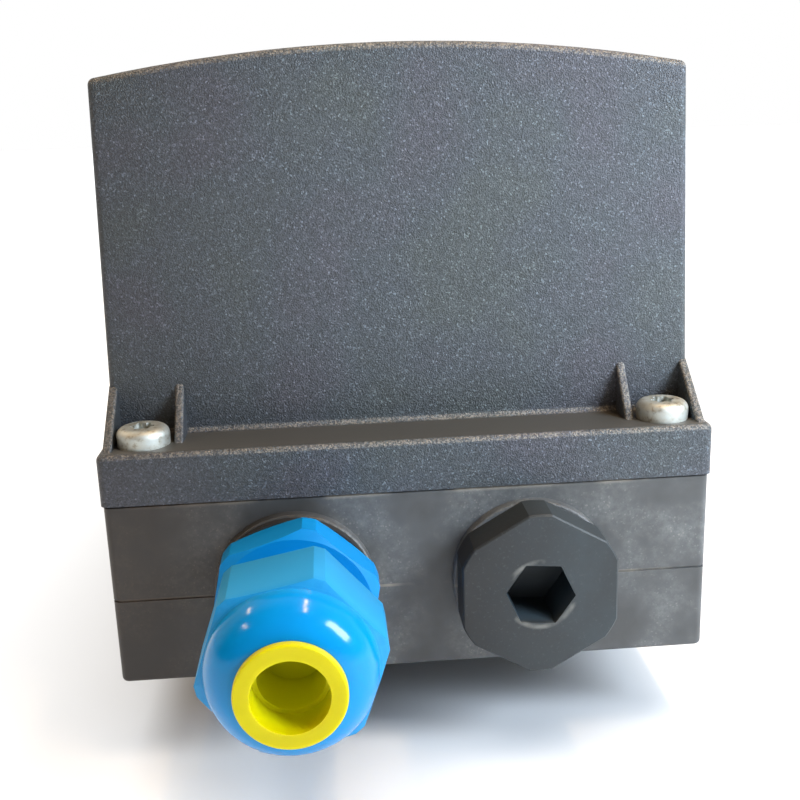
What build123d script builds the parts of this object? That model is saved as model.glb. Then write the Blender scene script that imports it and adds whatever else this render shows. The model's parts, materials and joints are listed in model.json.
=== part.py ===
from build123d import *

import os
from math import acos, atan2, cos, degrees, pi, radians, sin, tan

# Electropneumatic valve positioner with a moulded housing. Millimetres, +Z towards the crowned front.
# The origin is where the feedback shaft's axis crosses the mounting face; the cable entries face -Y.

# Housing envelope
width = 95.0
length = 158.0
base_height = 30.0
corner_radius = 1.2
inner_corner_radius = 2.0
base_foot_fillet = 0.7
base_rim_chamfer = 0.35
skirt_overhang = 0.3
skirt_height = 8.25
ledge_depth = 10.6
hood_inset = 0.35
hood_draft = 1.5
crown_height = 97.35
crown_radius = 253.0
wall = 3.0
floor_thickness = 3.5
rim_fillet = 1.1
lip_fillet = 1.0
ledge_cove = 1.0
boss_fillet = 0.4

# Clearances
slip = 0.05
key_clearance = 0.1
gap = 0.3

# Derived housing levels
half_width = width / 2
half_length = length / 2
ledge_height = base_height + skirt_height
hood_length = length - 2 * ledge_depth
hood_foot_width = width - 2 * hood_inset
inner_half_width = half_width - wall
inner_half_length = half_length - wall
UP = (Align.CENTER, Align.CENTER, Align.MIN)

# Cover screws, M4 pan head
cover_screw_inset = 6.3
cover_screw_x = half_width - cover_screw_inset
cover_screw_y = half_length - ledge_depth / 2
cover_screw_radius = 2.0
cover_screw_depth = 12.0
cover_screw_head_radius = 4.1
cover_screw_head_height = 2.9
cover_screw_fillet = 1.3
cover_screw_recess_radius = 1.45
cover_screw_lobe_radius = 0.45
cover_screw_lobes = 6
cover_screw_recess_depth = 1.8
cover_post_radius = 4.6

# Cover gussets
gusset_height = 8.0
gusset_thickness = 1.4
gusset_fillet = 0.45
inner_gusset_x = 35.8
inner_gusset_reach = 6.0
outer_gusset_reach = 9.6

# Mould line and gasket groove
mould_line_height = 14.0
mould_line_width = 0.35
mould_line_depth = 0.2
gasket_width = 1.6
gasket_depth = 1.5
gasket_corner = 1.8

# Cable entries, M20
entry_pitch = 37.5
entry_height = 15.0
entry_boss_radius = 12.7
entry_boss_height = 1.84
entry_thread_radius = 10.0
entry_thread_length = 9.0
entry_pad_radius = 13.0

# Rear mounting, M6
mounting_pitch_x = 50.0
mounting_pitch_y = 29.0
mounting_thread_radius = 2.5
mounting_thread_depth = 9.0
insert_radius = 4.25
insert_pad_radius = 5.6
insert_pad_top = 11.5
web_thickness = 2.0
web_height = 4.0

# Feedback shaft
shaft_radius = 4.0
shaft_reach = 14.0
journal_radius = 4.5
shaft_top = 25.0
bush_radius = 6.0
bush_flange_radius = 8.0
bush_flange = 1.0
shaft_boss_radius = 9.0
shaft_boss_top = 12.0
seal_height = 2.0
seal_radius = 6.4
seal_depth = 0.6
clip_thickness = 0.8
clip_radius = 7.0
clip_groove_depth = 0.6
shaft_chamfer = 0.6
shaft_slot_width = 1.2
shaft_slot_depth = 1.5

# Gear train
gear_module = 0.8
pinion_teeth = 20
gear_width = 4.0
gear_level = 15.0
pressure_angle = 20.0
backlash = 0.14
dedendum = 1.25 * gear_module
hub_radius = 6.2
hub_flange_radius = 11.0
hub_flange = 1.0
clutch_spring_height = 1.0
clutch_spring_width = 3.5
wheel_radius = 13.0
wheel_height = 4.0
wheel_flutes = 24
wheel_flute_radius = 0.9

# Potentiometer
pot_radius = 11.0
pot_height = 11.0
pot_wall_gap = 1.5
pot_fillet = 0.8
pot_spindle_radius = 3.0
pot_nose_radius = 4.5
pot_nose_proud = 1.0
bracket_thickness = 1.5
bracket_level = 22.5
bracket_post_inset = 4.0
bracket_post_x = inner_half_width - bracket_post_inset
bracket_post_y = 19.0
bracket_post_radius = 3.6
bracket_neck = 6.0
m3_radius = 1.5
m3_head_radius = 2.75
m3_head_height = 1.9
m3_length = 8.0

# Pneumatic port block, G1/4 ports
port_pitch = 30.0
port_height = 15.0
port_radius = 5.9
port_depth = 10.0
port_chamber_radius = 4.6
port_chamber_depth = 4.3
strainer_radius = 5.4
strainer_thickness = 1.0
strainer_sink = 0.2
port_collar_radius = 8.5
port_block_width = 12.5
port_block_length = 82.0
port_block_top = 26.5
port_block_chamfer = 2.0
port_ring_width = 1.2
port_ring_depth = 1.0
restrictor_radius = 3.0
restrictor_length = 9.0
restrictor_collar_radius = 4.5
restrictor_key_width = 2.5
restrictor_key_depth = 2.5
air_way_radius = 1.6
air_way_inset = 13.0
collar_clearance = 0.2

# Valve block
block_gasket_thickness = 1.0
valve_block_low_x = 8.0
valve_block_inset = 1.5
valve_block_length = 76.0
valve_block_height = 16.5
valve_block_fillet = 2.0
block_screw_inset = 5.0
block_screw_y = 15.0
block_screw_radius = 1.75
block_screw_head_radius = 3.2
block_screw_head_height = 2.2
block_screw_grip = 4.0
block_screw_key_width = 3.0
block_screw_key_depth = 1.4
pilot_width = 20.0
pilot_length = 36.0
pilot_height = 14.0
pilot_sink = 0.5
pilot_fillet = 3.0
pilot_chamfer = 1.0
purge_offset = 5.5
purge_travel = 5.0
purge_groove_height = 3.0
purge_groove_depth = 3.0
purge_slider_width = 5.0
purge_knob_reach = 2.5
purge_fillet = 0.4

# Exhaust silencer
silencer_inset = 19.0
silencer_y = inner_half_length - silencer_inset
silencer_thread_radius = 6.5
silencer_radius = 8.5
silencer_height = 5.0
silencer_wall = 2.0
silencer_fillet = 2.0
silencer_tail = 1.0

# Electronics carrier
carrier_side_gap = 5.15
carrier_end_gap = 9.4
carrier_bottom_gap = 2.0
carrier_top_depth = 17.35
carrier_width = hood_foot_width - 2 * (wall + carrier_side_gap)
carrier_length = hood_length - 2 * (wall + carrier_end_gap)
carrier_top = crown_height - carrier_top_depth
carrier_wall = 2.0
carrier_corner = 3.0
carrier_rim = 2.0
carrier_floor_side = 12.0
carrier_floor_end = 22.0
carrier_opening_margin = 4.0
carrier_opening_corner = 2.0
carrier_opening_side = 17.0
carrier_opening_width = 22.0
carrier_opening_pitch = 30.0
carrier_leg_x = carrier_width / 2 - 5.2
carrier_leg_y = carrier_length / 2 - 5.0
carrier_leg_radius = 4.6
carrier_post_top = 20.0
carrier_screw_grip = 9.0
board_level = carrier_top - carrier_rim
board_thickness = 1.6
board_margin = 0.5
board_width = carrier_width - 2 * carrier_wall - 2 * board_margin
board_length = carrier_length - 2 * carrier_wall - 2 * board_margin
board_post_x = carrier_width / 2 - 6.5
board_post_y = carrier_length / 2 - 14.0
board_post_radius = 3.6

# Display and keys
window_y = 22.0
window_width = 50.0
window_length = 28.0
window_thickness = 2.5
window_sink = 1.45
window_top = crown_height - window_sink
window_corner = 2.0
window_fillet = 0.4
window_land = 2.0
window_ring = 0.8
window_pad = 3.0
display_inset = 1.0
display_height = 8.0
display_chamfer = 0.8
lcd_border = 3.0
lcd_thickness = 1.1
lcd_sink = 0.2
key_pitch = 14.0
key_row_y = -12.0
key_radius = 4.5
key_proud = 1.0
key_travel = 0.8
key_flange_radius = 5.7
key_flange = 1.2
key_stem_radius = 2.0
key_fillet = 0.6
key_panel_width = 46.0
key_panel_length = 15.0
key_panel_sink = 1.95
key_panel_level = crown_height - key_panel_sink
key_panel_corner = 2.5
key_pad_thickness = 2.8
switch_size = 6.0
switch_height = 6.2
switch_button_radius = 1.75
switch_button_height = 2.5

# Terminals
terminal_count = 8
terminal_pitch = 7.0
terminal_depth = 12.0
terminal_inset = 2.5
terminal_y = (terminal_depth - board_length) / 2 + terminal_inset
terminal_height = 8.0
terminal_chamfer = 2.0
terminal_hole_radius = 2.4
terminal_hole_depth = 5.0
terminal_hole_offset = 1.0
terminal_wire_width = 4.0
terminal_wire_height = 3.0
terminal_wire_level = 3.0
terminal_screw_radius = 2.2
terminal_screw_height = 4.0
terminal_slot_width = 0.7
terminal_slot_depth = 1.0

# Chips in a row behind the terminals
chip_height = 1.8
chip_length = 14.0
chip_width = 10.0
small_chip_size = 8.0
chip_row_y = terminal_y + terminal_depth / 2 + chip_width
chip_pitch = 16.0
chip_row_x = -2.0

# Cable gland, M20, hexagon 24 across flats
gland_hex = 24.0
gland_corner_radius = 13.3
gland_gasket_thickness = 1.5
gland_gasket_radius = 12.3
gland_body_hex_height = 6.4
gland_turn = 12.0
gland_bore_radius = 6.6
gland_neck_length = 13.0
gland_neck_radius = 9.6
gland_chamfer = 0.9
claw_radius = 8.9
claw_tip_radius = 8.3
claw_count = 8
claw_length = 2.8
claw_slot = 1.0
thread_pitch = 1.5
nut_gap = 5.2
nut_turn = 14.0
nut_length = 17.6
nut_corner_radius = 13.8
nut_dome_base = 11.85
nut_dome_radius = 6.1
nut_shoulder_angle = 18.0
nut_opening_radius = 6.9
nut_cavity_length = 12.2
nut_turns = 2
seal_bore_radius = 6.0
seal_radius_outer = 7.4
seal_length = 9.0

# Dust plug in the gland
dust_flange_radius = 7.5
dust_flange_height = 1.1
dust_bore_radius = 5.25
dust_step_radius = 4.6
dust_step_depth = 5.0
dust_depth = 13.0
dust_end = 1.2
dust_neck_radius = 5.9

# Blanking plug
plug_hex = 24.0
plug_corner_radius = 12.95
plug_head_height = 6.6
plug_thread_length = 9.0
plug_socket = 9.4
plug_socket_depth = 9.0
plug_socket_turn = -5.0
plug_chamfer = 0.25
plug_ring_height = 1.2
plug_ring_width = 1.6

os.makedirs("parts", exist_ok=True)


def gear_tooth(module, teeth):
    """Corner points of one involute tooth that points along +X."""
    pitch_radius = module * teeth / 2
    angle = radians(pressure_angle)
    involute_radius = pitch_radius * cos(angle)
    root_radius = pitch_radius - 1.25 * module
    pitch_half_angle = pi / (2 * teeth) - backlash / (4 * pitch_radius)
    flank = []
    for radius in (max(involute_radius, root_radius), pitch_radius, pitch_radius + module):
        roll = acos(involute_radius / radius)
        half_angle = pitch_half_angle + (tan(angle) - angle) - (tan(roll) - roll)
        flank.append((radius * cos(half_angle), radius * sin(half_angle)))
    inner_x = root_radius - 0.5 * module
    foot = [(inner_x, flank[0][1])]
    upper = foot + flank
    return upper + [(x, -y) for x, y in reversed(upper)]


entry_plane = Plane(origin=(0, -half_length, entry_height), x_dir=(1, 0, 0), z_dir=(0, -1, 0))
gland_x = -entry_pitch / 2
plug_x = entry_pitch / 2
gland_plane = Plane(origin=(gland_x, -half_length, entry_height), x_dir=(1, 0, 0), z_dir=(0, -1, 0))
plug_plane = Plane(origin=(plug_x, -half_length, entry_height), x_dir=(1, 0, 0), z_dir=(0, -1, 0))
gland_section = Plane(origin=(gland_x, -half_length, entry_height), x_dir=(1, 0, 0), z_dir=(0, 0, -1))
gland_axis = Axis((gland_x, -half_length, entry_height), (0, -1, 0))
side_plane = Plane(origin=(inner_half_width, 0, port_height), x_dir=(0, 1, 0), z_dir=(1, 0, 0))
port_stations = (-port_pitch, 0, port_pitch)
port_places = [(y, 0) for y in port_stations]
valve_block_high_x = inner_half_width - valve_block_inset
block_screw_x = valve_block_high_x - block_screw_inset
air_way_places = [(half_width - air_way_inset, y) for y in port_stations]
block_screw_places = [(block_screw_x, block_screw_y), (block_screw_x, -block_screw_y)]
bracket_post_places = [(-bracket_post_x, bracket_post_y), (-bracket_post_x, -bracket_post_y)]
restrictor_places = [(-port_pitch / 2, 0), (port_pitch / 2, 0)]
# the largest drive gear that leaves the potentiometer its gap to the side wall
gear_teeth = 2 * round((inner_half_width - pot_wall_gap - pot_radius) / gear_module) - pinion_teeth
pot_x = -gear_module * (gear_teeth + pinion_teeth) / 2
web_angle = degrees(atan2(mounting_pitch_y, mounting_pitch_x))
valve_block_bottom = port_block_top + block_gasket_thickness
valve_block_top = valve_block_bottom + valve_block_height
valve_block_width = valve_block_high_x - valve_block_low_x
valve_block_x = (valve_block_high_x + valve_block_low_x) / 2
purge_x = valve_block_x - purge_offset
carrier_bottom = valve_block_top + carrier_bottom_gap

# Housing base
gasket_ring_width = width - wall
gasket_ring_length = length - wall
with BuildPart() as housing_base:
    with BuildSketch(Plane.XY):
        RectangleRounded(width, length, corner_radius)
    extrude(amount=base_height)
    fillet(housing_base.faces().sort_by(Axis.Z)[0].edges(), radius=base_foot_fillet)
    chamfer(housing_base.faces().sort_by(Axis.Z)[-1].edges(), length=base_rim_chamfer)
    with BuildSketch(Plane.XY.offset(floor_thickness)):
        RectangleRounded(2 * inner_half_width, 2 * inner_half_length, inner_corner_radius)
    extrude(amount=base_height - floor_thickness, mode=Mode.SUBTRACT)
    # round bosses at the cable entries, outside and inside the end wall
    with BuildSketch(entry_plane):
        with GridLocations(entry_pitch, 0, 2, 1):
            Circle(entry_boss_radius)
    extrude(amount=entry_boss_height)
    fillet(housing_base.edges().group_by(Axis.Y)[0], radius=boss_fillet)
    with BuildSketch(entry_plane.offset(-wall)):
        with GridLocations(entry_pitch, 0, 2, 1):
            Rectangle(2 * entry_pad_radius, 2 * (entry_height - floor_thickness))
    extrude(amount=-(entry_thread_length - wall - entry_boss_height))
    # cover screw posts in the corners, with their holes
    with BuildSketch(Plane.XY.offset(floor_thickness)):
        with GridLocations(2 * cover_screw_x, 2 * cover_screw_y, 2, 2):
            Circle(cover_post_radius)
    extrude(amount=base_height - floor_thickness)
    # pads for the rear mounting inserts
    with BuildSketch(Plane.XY.offset(floor_thickness)):
        with GridLocations(mounting_pitch_x, mounting_pitch_y, 2, 2):
            Circle(insert_pad_radius)
    extrude(amount=insert_pad_top - floor_thickness)
    # boss for the shaft bush
    with BuildSketch(Plane.XY.offset(floor_thickness)):
        Circle(shaft_boss_radius)
    extrude(amount=shaft_boss_top - floor_thickness)
    # webs that tie the shaft boss to the mounting pads
    with BuildSketch(Plane.XY.offset(floor_thickness)):
        for turn in (1, -1):
            with Locations(Rotation(0, 0, turn * web_angle)):
                Rectangle(mounting_pitch_x, web_thickness)
    extrude(amount=web_height)
    # posts for the electronics carrier and the potentiometer bracket
    with BuildSketch(Plane.XY.offset(floor_thickness)):
        with GridLocations(2 * carrier_leg_x, 2 * carrier_leg_y, 2, 2):
            Circle(carrier_leg_radius)
    extrude(amount=carrier_post_top - floor_thickness)
    with BuildSketch(Plane.XY.offset(floor_thickness)):
        with Locations(*bracket_post_places):
            Circle(bracket_post_radius)
    extrude(amount=bracket_level - floor_thickness)
    # holes
    with BuildSketch(Plane.XY.offset(base_height)):
        with GridLocations(2 * cover_screw_x, 2 * cover_screw_y, 2, 2):
            Circle(cover_screw_radius + slip)
    extrude(amount=-cover_screw_depth - 1, mode=Mode.SUBTRACT)
    with BuildSketch(Plane.XY):
        with GridLocations(mounting_pitch_x, mounting_pitch_y, 2, 2):
            Circle(insert_radius + slip)
    extrude(amount=mounting_thread_depth, mode=Mode.SUBTRACT)
    with BuildSketch(Plane.XY):
        Circle(bush_radius + slip)
    extrude(amount=shaft_boss_top, mode=Mode.SUBTRACT)
    with BuildSketch(Plane.XY):
        Circle(seal_radius + slip)
    extrude(amount=seal_depth + seal_height, mode=Mode.SUBTRACT)
    with BuildSketch(Plane.XY.offset(carrier_post_top)):
        with GridLocations(2 * carrier_leg_x, 2 * carrier_leg_y, 2, 2):
            Circle(m3_radius + slip)
    extrude(amount=-carrier_screw_grip - 1, mode=Mode.SUBTRACT)
    with BuildSketch(Plane.XY.offset(bracket_level)):
        with Locations(*bracket_post_places):
            Circle(m3_radius + slip)
    extrude(amount=-m3_length - 1, mode=Mode.SUBTRACT)
    with BuildSketch(entry_plane.offset(entry_boss_height)):
        with GridLocations(entry_pitch, 0, 2, 1):
            Circle(entry_thread_radius + slip)
    extrude(amount=-entry_thread_length - 1, mode=Mode.SUBTRACT)
    with BuildSketch(side_plane):
        with Locations(*port_places):
            Circle(port_collar_radius + collar_clearance)
        with Locations(*restrictor_places):
            Circle(restrictor_collar_radius + collar_clearance)
        with Locations((silencer_y, 0)):
            Circle(silencer_thread_radius + slip)
    extrude(amount=wall, mode=Mode.SUBTRACT)
    # groove for the cover gasket
    with BuildSketch(Plane.XY.offset(base_height)):
        RectangleRounded(
            gasket_ring_width + gasket_width,
            gasket_ring_length + gasket_width,
            gasket_corner + gasket_width / 2,
        )
        RectangleRounded(
            gasket_ring_width - gasket_width,
            gasket_ring_length - gasket_width,
            gasket_corner - gasket_width / 2,
            mode=Mode.SUBTRACT,
        )
    extrude(amount=-gasket_depth, mode=Mode.SUBTRACT)
    # mould line round the outside, below the entries' axis
    with BuildSketch(Plane.XY.offset(mould_line_height)):
        RectangleRounded(width + 2, length + 2, corner_radius)
        RectangleRounded(
            width - 2 * mould_line_depth, length - 2 * mould_line_depth, corner_radius, mode=Mode.SUBTRACT
        )
        with Locations((0, -half_length)):
            Rectangle(entry_pitch + 2 * entry_boss_radius, 4, mode=Mode.SUBTRACT)
        with Locations((half_width, 0)):
            Rectangle(4, 2 * (port_pitch + port_collar_radius + 1), mode=Mode.SUBTRACT)
        with Locations((half_width, silencer_y)):
            Rectangle(4, 2 * silencer_radius, mode=Mode.SUBTRACT)
    extrude(amount=mould_line_width, mode=Mode.SUBTRACT)
housing_base.part.label = "housing_base"
export_step(housing_base.part, "parts/housing_base.step")

# Cover gasket
with BuildPart() as cover_gasket:
    with BuildSketch(Plane.XY.offset(base_height - gasket_depth)):
        RectangleRounded(
            gasket_ring_width + gasket_width - 2 * slip,
            gasket_ring_length + gasket_width - 2 * slip,
            gasket_corner + gasket_width / 2 - slip,
        )
        RectangleRounded(
            gasket_ring_width - gasket_width + 2 * slip,
            gasket_ring_length - gasket_width + 2 * slip,
            gasket_corner - gasket_width / 2 + slip,
            mode=Mode.SUBTRACT,
        )
    extrude(amount=gasket_depth)
cover_gasket.part.label = "cover_gasket"
export_step(cover_gasket.part, "parts/cover_gasket.step")

# Housing cover: a screwed skirt, the crowned hood with its draft, and the gussets on the end ledges
with BuildPart() as hood:
    with BuildSketch(Plane.XY.offset(ledge_height)):
        Rectangle(hood_foot_width, hood_length)
    extrude(amount=crown_height - ledge_height, taper=hood_draft)
    with BuildSketch(Plane.XZ):
        with Locations((0, crown_height - crown_radius)):
            Circle(crown_radius)
    extrude(amount=length, both=True, mode=Mode.INTERSECT)
    upright = [e for e in hood.edges() if abs(e.center().Z - (ledge_height + crown_height) / 2) < 8]
    fillet(upright, radius=rim_fillet)
    fillet(hood.faces().sort_by(Axis.Z)[-1].edges(), radius=rim_fillet)

with BuildPart() as skirt:
    with BuildSketch(Plane.XY.offset(base_height)):
        RectangleRounded(width + 2 * skirt_overhang, length + 2 * skirt_overhang, corner_radius)
    extrude(amount=skirt_height)
    fillet(skirt.faces().sort_by(Axis.Z)[-1].edges(), radius=lip_fillet)

with BuildPart() as cover_core:
    with BuildSketch(Plane.XY.offset(base_height)):
        Rectangle(hood_foot_width - 2 * wall, hood_length - 2 * wall)
    extrude(amount=crown_height - base_height, taper=hood_draft)
    with BuildSketch(Plane.XZ):
        with Locations((0, crown_height - crown_radius)):
            Circle(crown_radius - wall)
    extrude(amount=length, both=True, mode=Mode.INTERSECT)
    with BuildSketch(Plane.XY.offset(base_height)):
        RectangleRounded(2 * inner_half_width, 2 * inner_half_length, inner_corner_radius)
    extrude(amount=skirt_height - wall)
    with BuildSketch(Plane.XY.offset(base_height)):
        with GridLocations(2 * cover_screw_x, 2 * cover_screw_y, 2, 2):
            Circle(cover_post_radius)
    extrude(amount=skirt_height - wall, mode=Mode.SUBTRACT)
    # pads under the front that hold the window and guide the keys stay solid
    with BuildSketch(Plane.XY.offset(window_top - window_thickness - window_ring - window_pad)):
        with Locations((0, window_y)):
            RectangleRounded(
                window_width + 2 * window_land, window_length + 2 * window_land, window_corner + 1
            )
    extrude(amount=2 * window_pad, mode=Mode.SUBTRACT)
    with BuildSketch(Plane.XY.offset(key_panel_level - key_pad_thickness)):
        with Locations((0, key_row_y)):
            RectangleRounded(key_panel_width + 2, key_panel_length + 2, key_panel_corner + 1)
    extrude(amount=2 * key_pad_thickness, mode=Mode.SUBTRACT)



def gusset_outline(reach):
    """The side view of a gusset from inside the hood's wall down to the ledge."""
    return (
        (hood_end - wall / 2, ledge_height - 1),
        (hood_end + reach, ledge_height - 1),
        (hood_end + reach, ledge_height),
        (hood_end - 0.2, ledge_height + gusset_height),
        (hood_end - wall / 2, ledge_height + gusset_height),
    )


def gusset_front_edges(gusset):
    """The two long sloping edges of a gusset."""
    return [e for e in gusset.edges() if abs(e.center().Z - ledge_height - gusset_height / 2) < 1
            and e.center().Y > hood_end and abs(e.tangent_at(0.5).X) < 0.1]


outer_gusset_x = hood_foot_width / 2 - gusset_thickness / 2 - gusset_height * tan(radians(hood_draft))
hood_end = hood_length / 2
with BuildPart() as inner_gusset:
    with BuildSketch(Plane.YZ.offset(inner_gusset_x)):
        Polygon(*gusset_outline(inner_gusset_reach), align=None)
    extrude(amount=gusset_thickness / 2, both=True)
    fillet(gusset_front_edges(inner_gusset), radius=gusset_fillet)
with BuildPart() as outer_gusset:
    with BuildSketch(Plane.YZ.offset(outer_gusset_x)):
        Polygon(*gusset_outline(outer_gusset_reach), align=None)
    extrude(amount=gusset_thickness / 2, both=True)
    fillet(gusset_front_edges(outer_gusset), radius=gusset_fillet)
with BuildPart() as housing_cover:
    add(skirt.part)
    add(hood.part)
    # a hollow curve along the foot of each end wall
    with BuildSketch(Plane.YZ):
        with BuildLine():
            Polyline(
                (hood_end + ledge_cove, ledge_height),
                (hood_end + ledge_cove, ledge_height - 1),
                (hood_end - 1, ledge_height - 1),
                (hood_end - 1, ledge_height + ledge_cove),
                (hood_end, ledge_height + ledge_cove),
            )
            RadiusArc(
                (hood_end, ledge_height + ledge_cove), (hood_end + ledge_cove, ledge_height), -ledge_cove
            )
        make_face()
        mirror(about=Plane.YZ)
    extrude(amount=outer_gusset_x, both=True)
    for gusset in (inner_gusset.part, outer_gusset.part):
        add(gusset)
        add(mirror(gusset, about=Plane.YZ))
        add(mirror(gusset, about=Plane.XZ))
        add(mirror(mirror(gusset, about=Plane.YZ), about=Plane.XZ))
    add(cover_core.part, mode=Mode.SUBTRACT)
    # screw holes
    with BuildSketch(Plane.XY.offset(base_height)):
        with GridLocations(2 * cover_screw_x, 2 * cover_screw_y, 2, 2):
            Circle(cover_screw_radius + slip)
    extrude(amount=skirt_height, mode=Mode.SUBTRACT)
    # window recess with its opening, then the key panel and its holes
    with BuildSketch(Plane.XY.offset(window_top - window_thickness - window_ring)):
        with Locations((0, window_y)):
            RectangleRounded(window_width + 2 * slip, window_length + 2 * slip, window_corner)
    extrude(amount=crown_height, mode=Mode.SUBTRACT)
    with BuildSketch(Plane.XY.offset(carrier_top)):
        with Locations((0, window_y)):
            RectangleRounded(window_width - 2 * window_land, window_length - 2 * window_land, window_corner)
    extrude(amount=crown_height - carrier_top, mode=Mode.SUBTRACT)
    with BuildSketch(Plane.XY.offset(key_panel_level)):
        with Locations((0, key_row_y)):
            RectangleRounded(key_panel_width, key_panel_length, key_panel_corner)
    extrude(amount=crown_height - key_panel_level, mode=Mode.SUBTRACT)
    with BuildSketch(Plane.XY.offset(key_panel_level)):
        with Locations((0, key_row_y)):
            with GridLocations(key_pitch, 0, 3, 1):
                Circle(key_radius + key_clearance)
    extrude(amount=-2 * key_pad_thickness, mode=Mode.SUBTRACT)
housing_cover.part.label = "housing_cover"
export_step(housing_cover.part, "parts/housing_cover.step")

# Cover screws
with BuildPart() as cover_screws:
    with BuildSketch(Plane.XY.offset(ledge_height)):
        with GridLocations(2 * cover_screw_x, 2 * cover_screw_y, 2, 2):
            Circle(cover_screw_head_radius)
    extrude(amount=cover_screw_head_height)
    fillet(cover_screws.edges().group_by(Axis.Z)[-1], radius=cover_screw_fillet)
    with BuildSketch(Plane.XY.offset(ledge_height)):
        with GridLocations(2 * cover_screw_x, 2 * cover_screw_y, 2, 2):
            Circle(cover_screw_radius)
    extrude(amount=-skirt_height - cover_screw_depth)
    with BuildSketch(Plane.XY.offset(ledge_height + cover_screw_head_height)):
        with GridLocations(2 * cover_screw_x, 2 * cover_screw_y, 2, 2):
            Circle(cover_screw_recess_radius)
            with PolarLocations(cover_screw_recess_radius, cover_screw_lobes):
                Circle(cover_screw_lobe_radius)
    extrude(amount=-cover_screw_recess_depth, mode=Mode.SUBTRACT)
cover_screws.part.label = "cover_screws"
export_step(cover_screws.part, "parts/cover_screws.step")

# Display window and its sealing ring
with BuildPart() as display_window:
    with BuildSketch(Plane.XY.offset(window_top - window_thickness)):
        with Locations((0, window_y)):
            RectangleRounded(window_width, window_length, window_corner - slip)
    extrude(amount=window_thickness)
    fillet(display_window.faces().sort_by(Axis.Z)[-1].edges(), radius=window_fillet)
display_window.part.label = "display_window"
export_step(display_window.part, "parts/display_window.step")

with BuildPart() as window_gasket:
    with BuildSketch(Plane.XY.offset(window_top - window_thickness - window_ring)):
        with Locations((0, window_y)):
            RectangleRounded(window_width, window_length, window_corner - slip)
            RectangleRounded(
                window_width - 2 * window_land + 2 * slip,
                window_length - 2 * window_land + 2 * slip,
                window_corner,
                mode=Mode.SUBTRACT,
            )
    extrude(amount=window_ring)
window_gasket.part.label = "window_gasket"
export_step(window_gasket.part, "parts/window_gasket.step")

# Operating keys: cap, retaining flange under the cover and stem down to the switch
key_top = key_panel_level + key_proud
key_flange_top = key_panel_level - key_pad_thickness - gap
board_top = board_level + board_thickness
key_stem_end = board_top + switch_height + key_travel + gap
for key_name, key_x in (("key_mode", -key_pitch), ("key_down", 0.0), ("key_up", key_pitch)):
    with BuildPart() as key:
        with BuildSketch(Plane.XY.offset(key_flange_top)):
            with Locations((key_x, key_row_y)):
                Circle(key_radius)
        extrude(amount=key_top - key_flange_top)
        fillet(key.edges().group_by(Axis.Z)[-1], radius=key_fillet)
        with BuildSketch(Plane.XY.offset(key_flange_top)):
            with Locations((key_x, key_row_y)):
                Circle(key_flange_radius)
        extrude(amount=-key_flange)
        with BuildSketch(Plane.XY.offset(key_flange_top - key_flange)):
            with Locations((key_x, key_row_y)):
                Circle(key_stem_radius)
        extrude(amount=key_stem_end - key_flange_top + key_flange)
    key.part.label = key_name
    export_step(key.part, f"parts/{key_name}.step")

# Rear mounting inserts
with BuildPart() as mounting_inserts:
    with BuildSketch(Plane.XY):
        with GridLocations(mounting_pitch_x, mounting_pitch_y, 2, 2):
            Circle(insert_radius)
            Circle(mounting_thread_radius, mode=Mode.SUBTRACT)
    extrude(amount=mounting_thread_depth)
mounting_inserts.part.label = "mounting_inserts"
export_step(mounting_inserts.part, "parts/mounting_inserts.step")

# Feedback shaft with its clip groove, bush, seal and clip
clip_level = shaft_boss_top + bush_flange + slip
with BuildPart() as feedback_shaft:
    with BuildSketch(Plane.XY.offset(-shaft_reach)):
        Circle(shaft_radius)
    extrude(amount=shaft_reach)
    with BuildSketch(Plane.XY):
        Circle(journal_radius)
    extrude(amount=shaft_top)
    chamfer(feedback_shaft.edges().group_by(Axis.Z)[0], length=shaft_chamfer)
    with BuildSketch(Plane.XY.offset(clip_level)):
        Circle(journal_radius + 1)
        Circle(journal_radius - clip_groove_depth, mode=Mode.SUBTRACT)
    extrude(amount=clip_thickness + slip, mode=Mode.SUBTRACT)
    with BuildSketch(Plane.XY.offset(shaft_top)):
        Rectangle(2 * journal_radius, shaft_slot_width)
    extrude(amount=-shaft_slot_depth, mode=Mode.SUBTRACT)
feedback_shaft.part.label = "feedback_shaft"
export_step(feedback_shaft.part, "parts/feedback_shaft.step")

with BuildPart() as shaft_bush:
    with BuildSketch(Plane.XY.offset(seal_depth + seal_height)):
        Circle(bush_radius)
    extrude(amount=shaft_boss_top - seal_depth - seal_height)
    with BuildSketch(Plane.XY.offset(shaft_boss_top)):
        Circle(bush_flange_radius)
    extrude(amount=bush_flange)
    with BuildSketch(Plane.XY):
        Circle(journal_radius + slip)
    extrude(amount=shaft_boss_top + bush_flange, mode=Mode.SUBTRACT)
shaft_bush.part.label = "shaft_bush"
export_step(shaft_bush.part, "parts/shaft_bush.step")

with BuildPart() as shaft_seal:
    with BuildSketch(Plane.XY.offset(seal_depth)):
        Circle(seal_radius)
        Circle(journal_radius + slip, mode=Mode.SUBTRACT)
    extrude(amount=seal_height)
shaft_seal.part.label = "shaft_seal"
export_step(shaft_seal.part, "parts/shaft_seal.step")

with BuildPart() as shaft_clip:
    with BuildSketch(Plane.XY.offset(clip_level)):
        Circle(clip_radius)
        Circle(journal_radius - clip_groove_depth + slip / 2, mode=Mode.SUBTRACT)
        with Locations((clip_radius / 2, 0)):
            Rectangle(clip_radius, 1.6 * journal_radius, mode=Mode.SUBTRACT)
    extrude(amount=clip_thickness)
shaft_clip.part.label = "shaft_clip"
export_step(shaft_clip.part, "parts/shaft_clip.step")

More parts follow.
